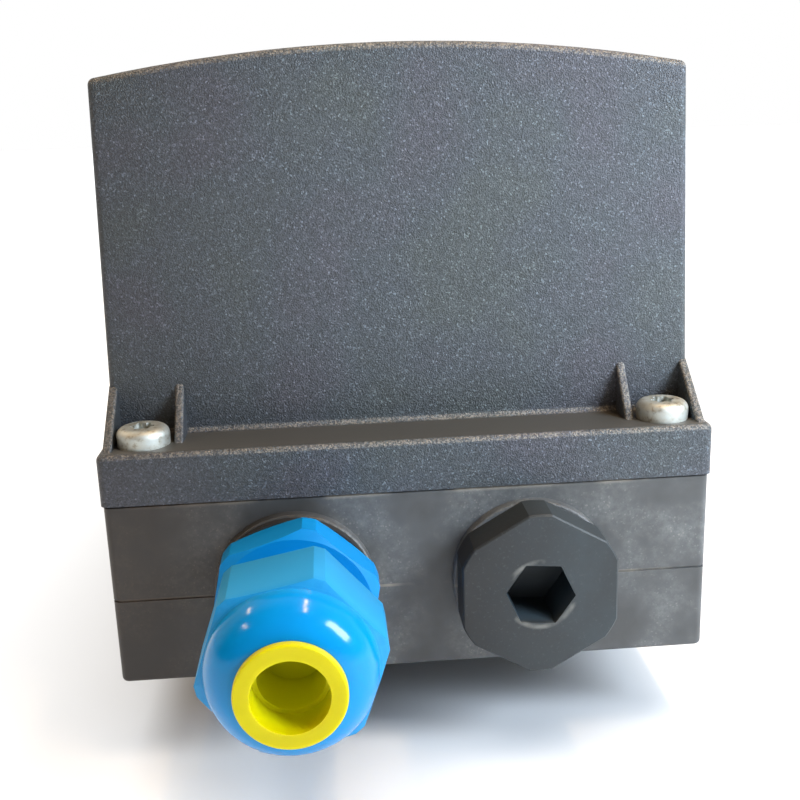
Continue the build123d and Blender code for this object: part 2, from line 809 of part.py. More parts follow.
# Clutch hub on the shaft, drive gear, clutch spring and adjusting wheel
gear_top = gear_level + gear_width
wheel_level = gear_top + clutch_spring_height
with BuildPart() as clutch_hub:
    with BuildSketch(Plane.XY.offset(gear_level - hub_flange)):
        Circle(hub_flange_radius)
    extrude(amount=hub_flange)
    with BuildSketch(Plane.XY.offset(gear_level)):
        Circle(hub_radius)
    extrude(amount=wheel_level + wheel_height - gear_level)
    with BuildSketch(Plane.XY.offset(gear_level - hub_flange)):
        Circle(journal_radius)
    extrude(amount=wheel_level + wheel_height, mode=Mode.SUBTRACT)
clutch_hub.part.label = "clutch_hub"
export_step(clutch_hub.part, "parts/clutch_hub.step")

gear_root_radius = gear_module * gear_teeth / 2 - dedendum
hub_rim_radius = hub_radius + 1.8
relief_radius = 0.24 * (gear_root_radius - hub_rim_radius)
with BuildPart() as drive_gear:
    with BuildSketch(Plane.XY.offset(gear_level)):
        Circle(gear_root_radius)
        with PolarLocations(0, gear_teeth):
            Polygon(*gear_tooth(gear_module, gear_teeth), align=None)
        Circle(hub_radius + slip, mode=Mode.SUBTRACT)
        with PolarLocations((hub_rim_radius + gear_root_radius) / 2, 6, start_angle=30):
            Circle(relief_radius, mode=Mode.SUBTRACT)
    extrude(amount=gear_width)
drive_gear.part.label = "drive_gear"
export_step(drive_gear.part, "parts/drive_gear.step")

with BuildPart() as clutch_spring:
    with BuildSketch(Plane.XY.offset(gear_top)):
        Circle(hub_radius + clutch_spring_width)
        Circle(hub_radius + slip, mode=Mode.SUBTRACT)
    extrude(amount=clutch_spring_height)
clutch_spring.part.label = "clutch_spring"
export_step(clutch_spring.part, "parts/clutch_spring.step")

with BuildPart() as adjusting_wheel:
    with BuildSketch(Plane.XY.offset(wheel_level)):
        Circle(wheel_radius)
        with PolarLocations(wheel_radius, wheel_flutes):
            Circle(wheel_flute_radius, mode=Mode.SUBTRACT)
        Circle(hub_radius + slip, mode=Mode.SUBTRACT)
    extrude(amount=wheel_height)
adjusting_wheel.part.label = "adjusting_wheel"
export_step(adjusting_wheel.part, "parts/adjusting_wheel.step")

# Potentiometer with its spindle, pinion and bracket
pot_level = bracket_level + bracket_thickness
with BuildPart() as potentiometer:
    with BuildSketch(Plane.XY.offset(pot_level)):
        with Locations((pot_x, 0)):
            Circle(pot_radius)
    extrude(amount=pot_height)
    fillet(potentiometer.edges().group_by(Axis.Z)[-1], radius=pot_fillet)
    with BuildSketch(Plane.XY.offset(pot_level)):
        with Locations((pot_x, 0)):
            Circle(pot_nose_radius)
    extrude(amount=-bracket_thickness - pot_nose_proud)
    with BuildSketch(Plane.XY.offset(pot_level - bracket_thickness - pot_nose_proud)):
        with Locations((pot_x, 0)):
            Circle(pot_spindle_radius + slip)
    extrude(amount=bracket_thickness + pot_nose_proud + pot_height / 2, mode=Mode.SUBTRACT)
potentiometer.part.label = "potentiometer"
export_step(potentiometer.part, "parts/potentiometer.step")

with BuildPart() as potentiometer_spindle:
    with BuildSketch(Plane.XY.offset(gear_level - 1)):
        with Locations((pot_x, 0)):
            Circle(pot_spindle_radius)
    extrude(amount=pot_level + pot_height / 2 - gap - gear_level + 1)
potentiometer_spindle.part.label = "potentiometer_spindle"
export_step(potentiometer_spindle.part, "parts/potentiometer_spindle.step")

with BuildPart() as pinion_gear:
    with BuildSketch(Plane(origin=(pot_x, 0, gear_level))):
        Circle(gear_module * pinion_teeth / 2 - dedendum)
        with PolarLocations(0, pinion_teeth, start_angle=180 / pinion_teeth):
            Polygon(*gear_tooth(gear_module, pinion_teeth), align=None)
        Circle(pot_spindle_radius, mode=Mode.SUBTRACT)
    extrude(amount=gear_width)
pinion_gear.part.label = "pinion_gear"
export_step(pinion_gear.part, "parts/pinion_gear.step")

bracket_edge_x = bracket_post_radius - bracket_post_x
bracket_end_y = bracket_post_y + bracket_post_radius
with BuildPart() as potentiometer_bracket:
    with BuildSketch(Plane.XY.offset(bracket_level)):
        with BuildLine():
            Polyline(
                (gap - inner_half_width, bracket_end_y),
                (bracket_edge_x, bracket_end_y),
                (pot_x + pot_radius, bracket_neck),
                (pot_x + pot_radius, -bracket_neck),
                (bracket_edge_x, -bracket_end_y),
                (gap - inner_half_width, -bracket_end_y),
                close=True,
            )
        make_face()
        with Locations((pot_x, 0)):
            Circle(pot_nose_radius + slip, mode=Mode.SUBTRACT)
        with Locations(*bracket_post_places):
            Circle(m3_radius + slip, mode=Mode.SUBTRACT)
    extrude(amount=bracket_thickness)
potentiometer_bracket.part.label = "potentiometer_bracket"
export_step(potentiometer_bracket.part, "parts/potentiometer_bracket.step")

with BuildPart() as bracket_screws:
    with BuildSketch(Plane.XY.offset(pot_level)):
        with Locations(*bracket_post_places):
            Circle(m3_head_radius)
    extrude(amount=m3_head_height)
    with BuildSketch(Plane.XY.offset(pot_level)):
        with Locations(*bracket_post_places):
            Circle(m3_radius)
    extrude(amount=-m3_length)
bracket_screws.part.label = "bracket_screws"
export_step(bracket_screws.part, "parts/bracket_screws.step")

# Port block: collars pass through the side wall and carry the ports and restrictors
port_block_height = port_block_top - floor_thickness
with BuildPart() as port_block:
    with Locations((inner_half_width - port_block_width / 2, 0, floor_thickness)):
        Box(port_block_width, port_block_length, port_block_height, align=UP)
    chamfer(port_block.edges().filter_by(Axis.Z).group_by(Axis.X)[0], length=port_block_chamfer)
    with BuildSketch(side_plane):
        with Locations(*port_places):
            Circle(port_collar_radius)
        with Locations(*restrictor_places):
            Circle(restrictor_collar_radius)
    extrude(amount=wall)
    with BuildSketch(side_plane.offset(wall)):
        with Locations(*port_places):
            Circle(port_radius)
    extrude(amount=-port_depth, mode=Mode.SUBTRACT)
    # a chamber behind each port's thread, and the strainer's seat behind the middle one
    with BuildSketch(side_plane.offset(wall - port_depth)):
        with Locations(*port_places):
            Circle(port_chamber_radius)
    extrude(amount=-port_chamber_depth, mode=Mode.SUBTRACT)
    with BuildSketch(side_plane.offset(wall - port_depth)):
        Circle(strainer_radius)
    extrude(amount=-strainer_sink - strainer_thickness, mode=Mode.SUBTRACT)
    with BuildSketch(side_plane.offset(wall)):
        with Locations(*restrictor_places):
            Circle(restrictor_radius + slip)
    extrude(amount=-restrictor_length - gap, mode=Mode.SUBTRACT)
    # air ways up to the valve block
    with BuildSketch(Plane.XY.offset(port_block_top)):
        with Locations(*air_way_places):
            Circle(air_way_radius)
    extrude(amount=port_height - port_block_top, mode=Mode.SUBTRACT)
    # seats of the port rings
    with BuildSketch(side_plane):
        with Locations(*port_places):
            Circle(port_collar_radius + port_ring_width)
            Circle(port_collar_radius, mode=Mode.SUBTRACT)
    extrude(amount=-port_ring_depth, mode=Mode.SUBTRACT)
    # holes of the valve block's screws
    with BuildSketch(Plane.XY.offset(port_block_top)):
        with Locations(*block_screw_places):
            Circle(block_screw_radius + slip)
    extrude(amount=-block_screw_grip - 0.5, mode=Mode.SUBTRACT)
port_block.part.label = "port_block"
export_step(port_block.part, "parts/port_block.step")

with BuildPart() as port_rings:
    with BuildSketch(side_plane):
        with Locations(*port_places):
            Circle(port_collar_radius + port_ring_width)
            Circle(port_collar_radius, mode=Mode.SUBTRACT)
    extrude(amount=-port_ring_depth)
port_rings.part.label = "port_rings"
export_step(port_rings.part, "parts/port_rings.step")

with BuildPart() as inlet_strainer:
    with BuildSketch(side_plane.offset(wall - port_depth - strainer_sink)):
        Circle(strainer_radius - slip)
    extrude(amount=-strainer_thickness)
inlet_strainer.part.label = "inlet_strainer"
export_step(inlet_strainer.part, "parts/inlet_strainer.step")

for restrictor_name, (restrictor_y, restrictor_z) in zip(
    ("restrictor_y1", "restrictor_y2"), restrictor_places
):
    with BuildPart() as restrictor:
        with BuildSketch(side_plane.offset(wall)):
            with Locations((restrictor_y, restrictor_z)):
                Circle(restrictor_radius)
        extrude(amount=-restrictor_length)
        with BuildSketch(side_plane.offset(wall)):
            with Locations((restrictor_y, restrictor_z)):
                RegularPolygon(restrictor_key_width / 2, 6, major_radius=False)
        extrude(amount=-restrictor_key_depth, mode=Mode.SUBTRACT)
    restrictor.part.label = restrictor_name
    export_step(restrictor.part, f"parts/{restrictor_name}.step")

# Valve block with its gasket and screws
port_block_low_x = inner_half_width - port_block_width
with BuildPart() as block_gasket:
    with BuildSketch(Plane.XY.offset(port_block_top)):
        with Locations(((port_block_low_x + valve_block_high_x) / 2, 0)):
            Rectangle(valve_block_high_x - port_block_low_x, valve_block_length - 2)
        with Locations(*air_way_places):
            Circle(air_way_radius, mode=Mode.SUBTRACT)
        with Locations(*block_screw_places):
            Circle(block_screw_radius + slip, mode=Mode.SUBTRACT)
    extrude(amount=block_gasket_thickness)
block_gasket.part.label = "block_gasket"
export_step(block_gasket.part, "parts/block_gasket.step")

purge_plane = Plane(
    origin=(purge_x, -valve_block_length / 2, valve_block_bottom + valve_block_height / 2),
    x_dir=(1, 0, 0),
    z_dir=(0, -1, 0),
)
with BuildPart() as valve_block:
    with Locations((valve_block_x, 0, valve_block_bottom)):
        Box(valve_block_width, valve_block_length, valve_block_height, align=UP)
    fillet(valve_block.edges().filter_by(Axis.Z), radius=valve_block_fillet)
    with BuildSketch(Plane.XY.offset(valve_block_bottom)):
        with Locations(*block_screw_places):
            Circle(block_screw_radius + slip)
    extrude(amount=valve_block_height, mode=Mode.SUBTRACT)
    with BuildSketch(Plane.XY.offset(valve_block_top)):
        with Locations(*block_screw_places):
            Circle(block_screw_head_radius + 2 * slip)
    extrude(amount=-block_screw_head_height, mode=Mode.SUBTRACT)
    with BuildSketch(Plane.XY.offset(valve_block_bottom)):
        with Locations(*air_way_places):
            Circle(air_way_radius)
    extrude(amount=valve_block_height / 2, mode=Mode.SUBTRACT)
    # the groove of the purge air selector, with a slot for its knob
    with BuildSketch(purge_plane):
        with Locations((purge_travel / 2, 0)):
            Rectangle(purge_slider_width + purge_travel + 2 * slip, purge_groove_height + 2 * slip)
    extrude(amount=-purge_groove_depth, mode=Mode.SUBTRACT)
valve_block.part.label = "valve_block"
export_step(valve_block.part, "parts/valve_block.step")

with BuildPart() as purge_selector:
    with BuildSketch(purge_plane.offset(slip - purge_groove_depth)):
        Rectangle(purge_slider_width, purge_groove_height)
    extrude(amount=purge_groove_depth + purge_knob_reach)
    fillet(purge_selector.faces().sort_by(Axis.Y)[0].edges(), radius=purge_fillet)
purge_selector.part.label = "purge_selector"
export_step(purge_selector.part, "parts/purge_selector.step")

with BuildPart() as block_screws:
    with BuildSketch(Plane.XY.offset(valve_block_top - block_screw_head_height)):
        with Locations(*block_screw_places):
            Circle(block_screw_head_radius)
    extrude(amount=block_screw_head_height)
    with BuildSketch(Plane.XY.offset(valve_block_top)):
        with Locations(*block_screw_places):
            RegularPolygon(block_screw_key_width / 2, 6, major_radius=False)
    extrude(amount=-block_screw_key_depth, mode=Mode.SUBTRACT)
    with BuildSketch(Plane.XY.offset(valve_block_top - block_screw_head_height)):
        with Locations(*block_screw_places):
            Circle(block_screw_radius)
    extrude(amount=block_screw_head_height - valve_block_height - block_gasket_thickness - block_screw_grip)
block_screws.part.label = "block_screws"
export_step(block_screws.part, "parts/block_screws.step")

with BuildPart() as pilot_valve:
    with Locations((valve_block_low_x - pilot_width / 2, 0, valve_block_top - pilot_height - pilot_sink)):
        Box(pilot_width, pilot_length, pilot_height, align=UP)
    fillet(pilot_valve.edges().filter_by(Axis.Z).group_by(Axis.X)[0], radius=pilot_fillet)
    chamfer(pilot_valve.faces().sort_by(Axis.X)[0].edges().group_by(Axis.Z)[-1], length=pilot_chamfer)
pilot_valve.part.label = "pilot_valve"
export_step(pilot_valve.part, "parts/pilot_valve.step")

# Exhaust silencer in the side wall
with BuildPart() as exhaust_silencer:
    with BuildSketch(side_plane.offset(-silencer_tail)):
        with Locations((silencer_y, 0)):
            Circle(silencer_thread_radius)
    extrude(amount=wall + silencer_tail)
    with BuildSketch(side_plane.offset(wall)):
        with Locations((silencer_y, 0)):
            Circle(silencer_radius)
    extrude(amount=silencer_height)
    fillet(exhaust_silencer.edges().group_by(Axis.X)[-1], radius=silencer_fillet)
    with BuildSketch(side_plane.offset(-silencer_tail)):
        with Locations((silencer_y, 0)):
            Circle(silencer_thread_radius - silencer_wall)
    extrude(amount=silencer_tail + wall + silencer_height - silencer_wall, mode=Mode.SUBTRACT)
exhaust_silencer.part.label = "exhaust_silencer"
export_step(exhaust_silencer.part, "parts/exhaust_silencer.step")

# Electronics carrier: an open tray on four legs
with BuildPart() as electronics_carrier:
    with BuildSketch(Plane.XY.offset(carrier_bottom)):
        RectangleRounded(carrier_width, carrier_length, carrier_corner)
    extrude(amount=carrier_top - carrier_bottom)
    with BuildSketch(Plane.XY.offset(carrier_bottom + carrier_wall)):
        RectangleRounded(
            carrier_width - 2 * carrier_wall,
            carrier_length - 2 * carrier_wall,
            carrier_corner - carrier_wall,
        )
    extrude(amount=carrier_top, mode=Mode.SUBTRACT)
    with BuildSketch(Plane.XY.offset(carrier_bottom)):
        Rectangle(carrier_width - 2 * carrier_floor_side, carrier_length - 2 * carrier_floor_end)
    extrude(amount=carrier_wall, mode=Mode.SUBTRACT)
    with BuildSketch(Plane.XY.offset(carrier_post_top)):
        with GridLocations(2 * carrier_leg_x, 2 * carrier_leg_y, 2, 2):
            Circle(carrier_leg_radius)
    extrude(amount=carrier_bottom + carrier_wall - carrier_post_top)
    with BuildSketch(Plane.XY.offset(carrier_bottom + carrier_wall)):
        with GridLocations(2 * board_post_x, 2 * board_post_y, 2, 2):
            Circle(board_post_radius)
    extrude(amount=board_level - carrier_bottom - carrier_wall)
    # wire openings in the two end walls
    opening_height = board_level - carrier_bottom - carrier_wall - 2 * carrier_opening_margin
    opening_middle = (carrier_bottom + carrier_wall + board_level) / 2
    with BuildSketch(Plane.XZ.offset(-carrier_length)):
        with Locations((0, opening_middle)):
            RectangleRounded(
                carrier_width - 2 * carrier_opening_side, opening_height, carrier_opening_corner
            )
    extrude(amount=2 * carrier_length, mode=Mode.SUBTRACT)
    # lightening windows in the long walls
    with BuildSketch(Plane.YZ.offset(-carrier_width)):
        with Locations((0, opening_middle)):
            with GridLocations(carrier_opening_pitch, 0, 2, 1):
                RectangleRounded(carrier_opening_width, opening_height, carrier_opening_corner)
    extrude(amount=2 * carrier_width, mode=Mode.SUBTRACT)
    with BuildSketch(Plane.XY.offset(carrier_post_top)):
        with GridLocations(2 * carrier_leg_x, 2 * carrier_leg_y, 2, 2):
            Circle(m3_radius + slip)
    extrude(amount=carrier_bottom + carrier_wall - carrier_post_top, mode=Mode.SUBTRACT)
    with BuildSketch(Plane.XY.offset(board_level)):
        with GridLocations(2 * board_post_x, 2 * board_post_y, 2, 2):
            Circle(m3_radius + slip)
    extrude(amount=-m3_length, mode=Mode.SUBTRACT)
electronics_carrier.part.label = "electronics_carrier"
export_step(electronics_carrier.part, "parts/electronics_carrier.step")

with BuildPart() as carrier_screws:
    with BuildSketch(Plane.XY.offset(carrier_bottom + carrier_wall)):
        with GridLocations(2 * carrier_leg_x, 2 * carrier_leg_y, 2, 2):
            Circle(m3_head_radius)
    extrude(amount=m3_head_height)
    with BuildSketch(Plane.XY.offset(carrier_bottom + carrier_wall)):
        with GridLocations(2 * carrier_leg_x, 2 * carrier_leg_y, 2, 2):
            Circle(m3_radius)
    extrude(amount=carrier_post_top - carrier_bottom - carrier_wall - carrier_screw_grip)
carrier_screws.part.label = "carrier_screws"
export_step(carrier_screws.part, "parts/carrier_screws.step")

# Main board and what it carries
with BuildPart() as main_board:
    with BuildSketch(Plane.XY.offset(board_level)):
        Rectangle(board_width, board_length)
        with GridLocations(2 * board_post_x, 2 * board_post_y, 2, 2):
            Circle(m3_radius + slip, mode=Mode.SUBTRACT)
    extrude(amount=board_thickness)
main_board.part.label = "main_board"
export_step(main_board.part, "parts/main_board.step")

with BuildPart() as board_screws:
    with BuildSketch(Plane.XY.offset(board_top)):
        with GridLocations(2 * board_post_x, 2 * board_post_y, 2, 2):
            Circle(m3_head_radius)
    extrude(amount=m3_head_height)
    with BuildSketch(Plane.XY.offset(board_top)):
        with GridLocations(2 * board_post_x, 2 * board_post_y, 2, 2):
            Circle(m3_radius)
    extrude(amount=-m3_length)
board_screws.part.label = "board_screws"
export_step(board_screws.part, "parts/board_screws.step")

display_width = window_width - 2 * display_inset
display_length = window_length - 2 * display_inset
lcd_width = display_width - 2 * lcd_border
lcd_length = display_length - 2 * lcd_border
with BuildPart() as display_module:
    with BuildSketch(Plane.XY.offset(board_top)):
        with Locations((0, window_y)):
            Rectangle(display_width, display_length)
    extrude(amount=display_height)
    with BuildSketch(Plane.XY.offset(board_top + display_height)):
        with Locations((0, window_y)):
            Rectangle(lcd_width + 2 * slip, lcd_length + 2 * slip)
    extrude(amount=-lcd_thickness, mode=Mode.SUBTRACT)
    chamfer(display_module.faces().sort_by(Axis.Z)[-1].outer_wire().edges(), length=display_chamfer)
display_module.part.label = "display_module"
export_step(display_module.part, "parts/display_module.step")

with BuildPart() as lcd_panel:
    with BuildSketch(Plane.XY.offset(board_top + display_height - lcd_thickness)):
        with Locations((0, window_y)):
            Rectangle(lcd_width, lcd_length)
    extrude(amount=lcd_thickness - lcd_sink)
lcd_panel.part.label = "lcd_panel"
export_step(lcd_panel.part, "parts/lcd_panel.step")

with BuildPart() as key_switches:
    with BuildSketch(Plane.XY.offset(board_top)):
        with Locations((0, key_row_y)):
            with GridLocations(key_pitch, 0, 3, 1):
                Rectangle(switch_size, switch_size)
    extrude(amount=switch_height - switch_button_height)
    with BuildSketch(Plane.XY.offset(board_top + switch_height - switch_button_height)):
        with Locations((0, key_row_y)):
            with GridLocations(key_pitch, 0, 3, 1):
                Circle(switch_button_radius)
    extrude(amount=switch_button_height)
key_switches.part.label = "key_switches"
export_step(key_switches.part, "parts/key_switches.step")

terminal_width = terminal_count * terminal_pitch
with BuildPart() as terminal_block:
    with Locations((0, terminal_y, board_top)):
        Box(terminal_width, terminal_depth, terminal_height, align=UP)
    chamfer(terminal_block.faces().sort_by(Axis.Z)[-1].edges().group_by(Axis.Y)[0], length=terminal_chamfer)
    with BuildSketch(Plane.XY.offset(board_top + terminal_height)):
        with Locations((0, terminal_y + terminal_hole_offset)):
            with GridLocations(terminal_pitch, 0, terminal_count, 1):
                Circle(terminal_hole_radius)
    extrude(amount=-terminal_hole_depth, mode=Mode.SUBTRACT)
    terminal_face = Plane(
        origin=(0, terminal_y - terminal_depth / 2, board_top + terminal_wire_level),
        x_dir=(1, 0, 0),
        z_dir=(0, -1, 0),
    )
    with BuildSketch(terminal_face):
        with GridLocations(terminal_pitch, 0, terminal_count, 1):
            Rectangle(terminal_wire_width, terminal_wire_height)
    extrude(amount=-terminal_depth / 3, mode=Mode.SUBTRACT)
terminal_block.part.label = "terminal_block"
export_step(terminal_block.part, "parts/terminal_block.step")

terminal_screw_level = board_top + terminal_height - terminal_hole_depth
with BuildPart() as terminal_screws:
    with BuildSketch(Plane.XY.offset(terminal_screw_level)):
        with Locations((0, terminal_y + terminal_hole_offset)):
            with GridLocations(terminal_pitch, 0, terminal_count, 1):
                Circle(terminal_screw_radius)
    extrude(amount=terminal_screw_height)
    with BuildSketch(Plane.XY.offset(terminal_screw_level + terminal_screw_height)):
        with Locations((0, terminal_y + terminal_hole_offset)):
            with GridLocations(terminal_pitch, 0, terminal_count, 1):
                Rectangle(2 * terminal_screw_radius, terminal_slot_width)
    extrude(amount=-terminal_slot_depth, mode=Mode.SUBTRACT)
terminal_screws.part.label = "terminal_screws"
export_step(terminal_screws.part, "parts/terminal_screws.step")

with BuildPart() as board_chips:
    with BuildSketch(Plane.XY.offset(board_top)):
        with Locations((chip_row_x, chip_row_y)):
            with GridLocations(2 * chip_pitch, 0, 2, 1):
                Rectangle(chip_length, chip_width)
            Rectangle(small_chip_size, small_chip_size)
    extrude(amount=chip_height)
board_chips.part.label = "board_chips"
export_step(board_chips.part, "parts/board_chips.step")

# Cable gland body: entry thread, hexagon, neck for the nut and the claws round the seal
gasket_level = entry_boss_height
hex_level = gasket_level + gland_gasket_thickness
neck_level = hex_level + gland_body_hex_height
neck_end = neck_level + gland_neck_length
claw_end = neck_end + claw_length
nut_level = neck_level + nut_gap
nut_front = nut_level + nut_length
entry_depth = entry_thread_length - entry_boss_height
with BuildPart() as gland_gasket:
    with BuildSketch(gland_plane.offset(gasket_level)):
        Circle(gland_gasket_radius)
        Circle(entry_thread_radius + slip, mode=Mode.SUBTRACT)
    extrude(amount=gland_gasket_thickness)
gland_gasket.part.label = "gland_gasket"
export_step(gland_gasket.part, "parts/gland_gasket.step")

seal_front = nut_front - 3.2
seal_back = seal_front - seal_length
seal_seat = seal_back - nut_turns * thread_pitch - gap
seal_bore = seal_radius_outer + key_clearance
with BuildPart() as gland_body:
    # a disc with bevelled rims, cut down to the hexagon
    with BuildSketch(gland_plane.offset(hex_level)):
        Circle(gland_corner_radius)
    extrude(amount=gland_body_hex_height)
    chamfer(gland_body.edges().filter_by(GeomType.CIRCLE), length=gland_chamfer, length2=1.6 * gland_chamfer)
    with BuildSketch(gland_plane.offset(hex_level)):
        RegularPolygon(gland_hex / 2, 6, major_radius=False, rotation=30 - gland_turn)
    extrude(amount=gland_body_hex_height, mode=Mode.INTERSECT)
    with BuildSketch(gland_plane.offset(-entry_depth - 1)):
        Circle(entry_thread_radius)
    extrude(amount=entry_depth + 1 + hex_level)
    with BuildSketch(gland_plane.offset(neck_level)):
        Circle(gland_neck_radius)
    extrude(amount=gland_neck_length)
    with BuildSketch(gland_plane.offset(neck_end)):
        Circle(claw_radius)
    extrude(amount=claw_length)
    chamfer(
        gland_body.edges().group_by(Axis.Y)[0],
        length=claw_length / 2,
        length2=claw_radius - claw_tip_radius,
    )
    with BuildSketch(gland_plane.offset(-entry_depth - 1)):
        Circle(gland_bore_radius)
    extrude(amount=claw_end + entry_depth + 1, mode=Mode.SUBTRACT)
    with BuildSketch(gland_plane.offset(seal_seat)):
        Circle(seal_bore)
    extrude(amount=claw_end - seal_seat, mode=Mode.SUBTRACT)
    # slots between the claws
    with BuildSketch(gland_plane.offset(neck_end + 0.3)):
        with PolarLocations(gland_neck_radius - 1, claw_count):
            Rectangle(6, claw_slot)
    extrude(amount=claw_length, mode=Mode.SUBTRACT)
gland_body.part.label = "gland_body"
export_step(gland_body.part, "parts/gland_body.step")

# Gland seal, pushed in by the nut
with BuildPart() as gland_seal:
    with BuildSketch(gland_plane.offset(seal_back)):
        Circle(seal_radius_outer)
        Circle(seal_bore_radius, mode=Mode.SUBTRACT)
    extrude(amount=seal_length)
gland_seal.part.label = "gland_seal"
export_step(gland_seal.part, "parts/gland_seal.step")

# Gland nut: hexagon with a bevelled shoulder under a dome, threaded inside, with a seat for the claws
nut_dome_level = nut_front - nut_dome_radius
nut_shoulder_drop = (nut_corner_radius - nut_dome_base) * tan(radians(nut_shoulder_angle))
with BuildPart() as gland_nut:
    with BuildSketch(gland_section):
        with BuildLine():
            l1 = Line((0, nut_level), (nut_corner_radius, nut_level))
            l2 = Line(l1 @ 1, (nut_corner_radius, nut_dome_level - nut_shoulder_drop))
            l3 = Line(l2 @ 1, (nut_dome_base, nut_dome_level))
            a1 = JernArc(l3 @ 1, (0, 1), nut_dome_radius, 90)
            l4 = Line(a1 @ 1, (0, nut_front))
            Line(l4 @ 1, l1 @ 0)
        make_face()
    revolve(axis=gland_axis)
    with BuildSketch(gland_plane.offset(nut_level)):
        RegularPolygon(gland_hex / 2, 6, major_radius=False, rotation=30 - nut_turn)
    extrude(amount=nut_length, mode=Mode.INTERSECT)
    with BuildSketch(gland_section):
        with BuildLine():
            m1 = Line((0, nut_level), (gland_neck_radius + 2 * slip, nut_level))
            m2 = Line(m1 @ 1, (gland_neck_radius + 2 * slip, nut_level + nut_cavity_length))
            m3 = Line(m2 @ 1, (seal_radius_outer + gap, seal_front))
            m4 = Line(m3 @ 1, (nut_opening_radius, seal_front))
            m5 = Line(m4 @ 1, (nut_opening_radius, nut_front))
            m6 = Line(m5 @ 1, (0, nut_front))
            Line(m6 @ 1, m1 @ 0)
        make_face()
    revolve(axis=gland_axis, mode=Mode.SUBTRACT)
gland_nut.part.label = "gland_nut"
export_step(gland_nut.part, "parts/gland_nut.step")

# Dust plug in the gland's mouth: a flanged cup
dust_face = nut_front + dust_flange_height
with BuildPart() as dust_plug:
    with BuildSketch(gland_plane.offset(nut_front)):
        Circle(dust_flange_radius)
    extrude(amount=dust_flange_height)
    fillet(dust_plug.edges().group_by(Axis.Y)[0], radius=0.3)
    with BuildSketch(gland_plane.offset(nut_front)):
        Circle(dust_neck_radius)
    extrude(amount=-(dust_depth + dust_end - dust_flange_height))
    with BuildSketch(gland_plane.offset(dust_face)):
        Circle(dust_bore_radius)
    extrude(amount=-dust_step_depth, mode=Mode.SUBTRACT)
    with BuildSketch(gland_plane.offset(dust_face - dust_step_depth)):
        Circle(dust_step_radius)
    extrude(amount=-(dust_depth - dust_step_depth), mode=Mode.SUBTRACT)
dust_plug.part.label = "dust_plug"
export_step(dust_plug.part, "parts/dust_plug.step")

# Blanking plug with its hexagon socket and sealing ring
with BuildPart() as blanking_plug:
    with BuildSketch(plug_plane.offset(entry_boss_height)):
        RegularPolygon(plug_hex / 2, 6, major_radius=False, rotation=30)
        Circle(plug_corner_radius, mode=Mode.INTERSECT)
    extrude(amount=plug_head_height)
    chamfer(blanking_plug.faces().sort_by(Axis.Y)[0].edges(), length=plug_chamfer)
    with BuildSketch(plug_plane.offset(entry_boss_height)):
        Circle(entry_thread_radius)
    extrude(amount=-plug_thread_length)
    with BuildSketch(plug_plane.offset(entry_boss_height)):
        Circle(entry_thread_radius + plug_ring_width)
        Circle(entry_thread_radius, mode=Mode.SUBTRACT)
    extrude(amount=plug_ring_height, mode=Mode.SUBTRACT)
    with BuildSketch(plug_plane.offset(entry_boss_height + plug_head_height)):
        RegularPolygon(plug_socket / 2, 6, major_radius=False, rotation=plug_socket_turn)
    extrude(amount=-plug_socket_depth, mode=Mode.SUBTRACT)
blanking_plug.part.label = "blanking_plug"
export_step(blanking_plug.part, "parts/blanking_plug.step")

with BuildPart() as plug_ring:
    with BuildSketch(plug_plane.offset(entry_boss_height)):
        Circle(entry_thread_radius + plug_ring_width - slip)
        Circle(entry_thread_radius, mode=Mode.SUBTRACT)
    extrude(amount=plug_ring_height)
plug_ring.part.label = "plug_ring"
export_step(plug_ring.part, "parts/plug_ring.step")
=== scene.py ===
# %% [markdown]
# # A valve positioner, finished on its measured frame
#
# The object is a small moulded instrument that sits on a process valve and moves it to the position a
# control signal asks for. Its solids were made to measure in a CAD program. Here they are loaded as a fixed
# frame, and this lesson gives them what a CAD program doesn't: moulded grain, glossy nylon, zinc, scuffs,
# light and a camera.
#
# Everything is in metres.

# %% Load the measured frame
import json
import math

import bmesh
import bpy
from mathutils import Matrix, Vector

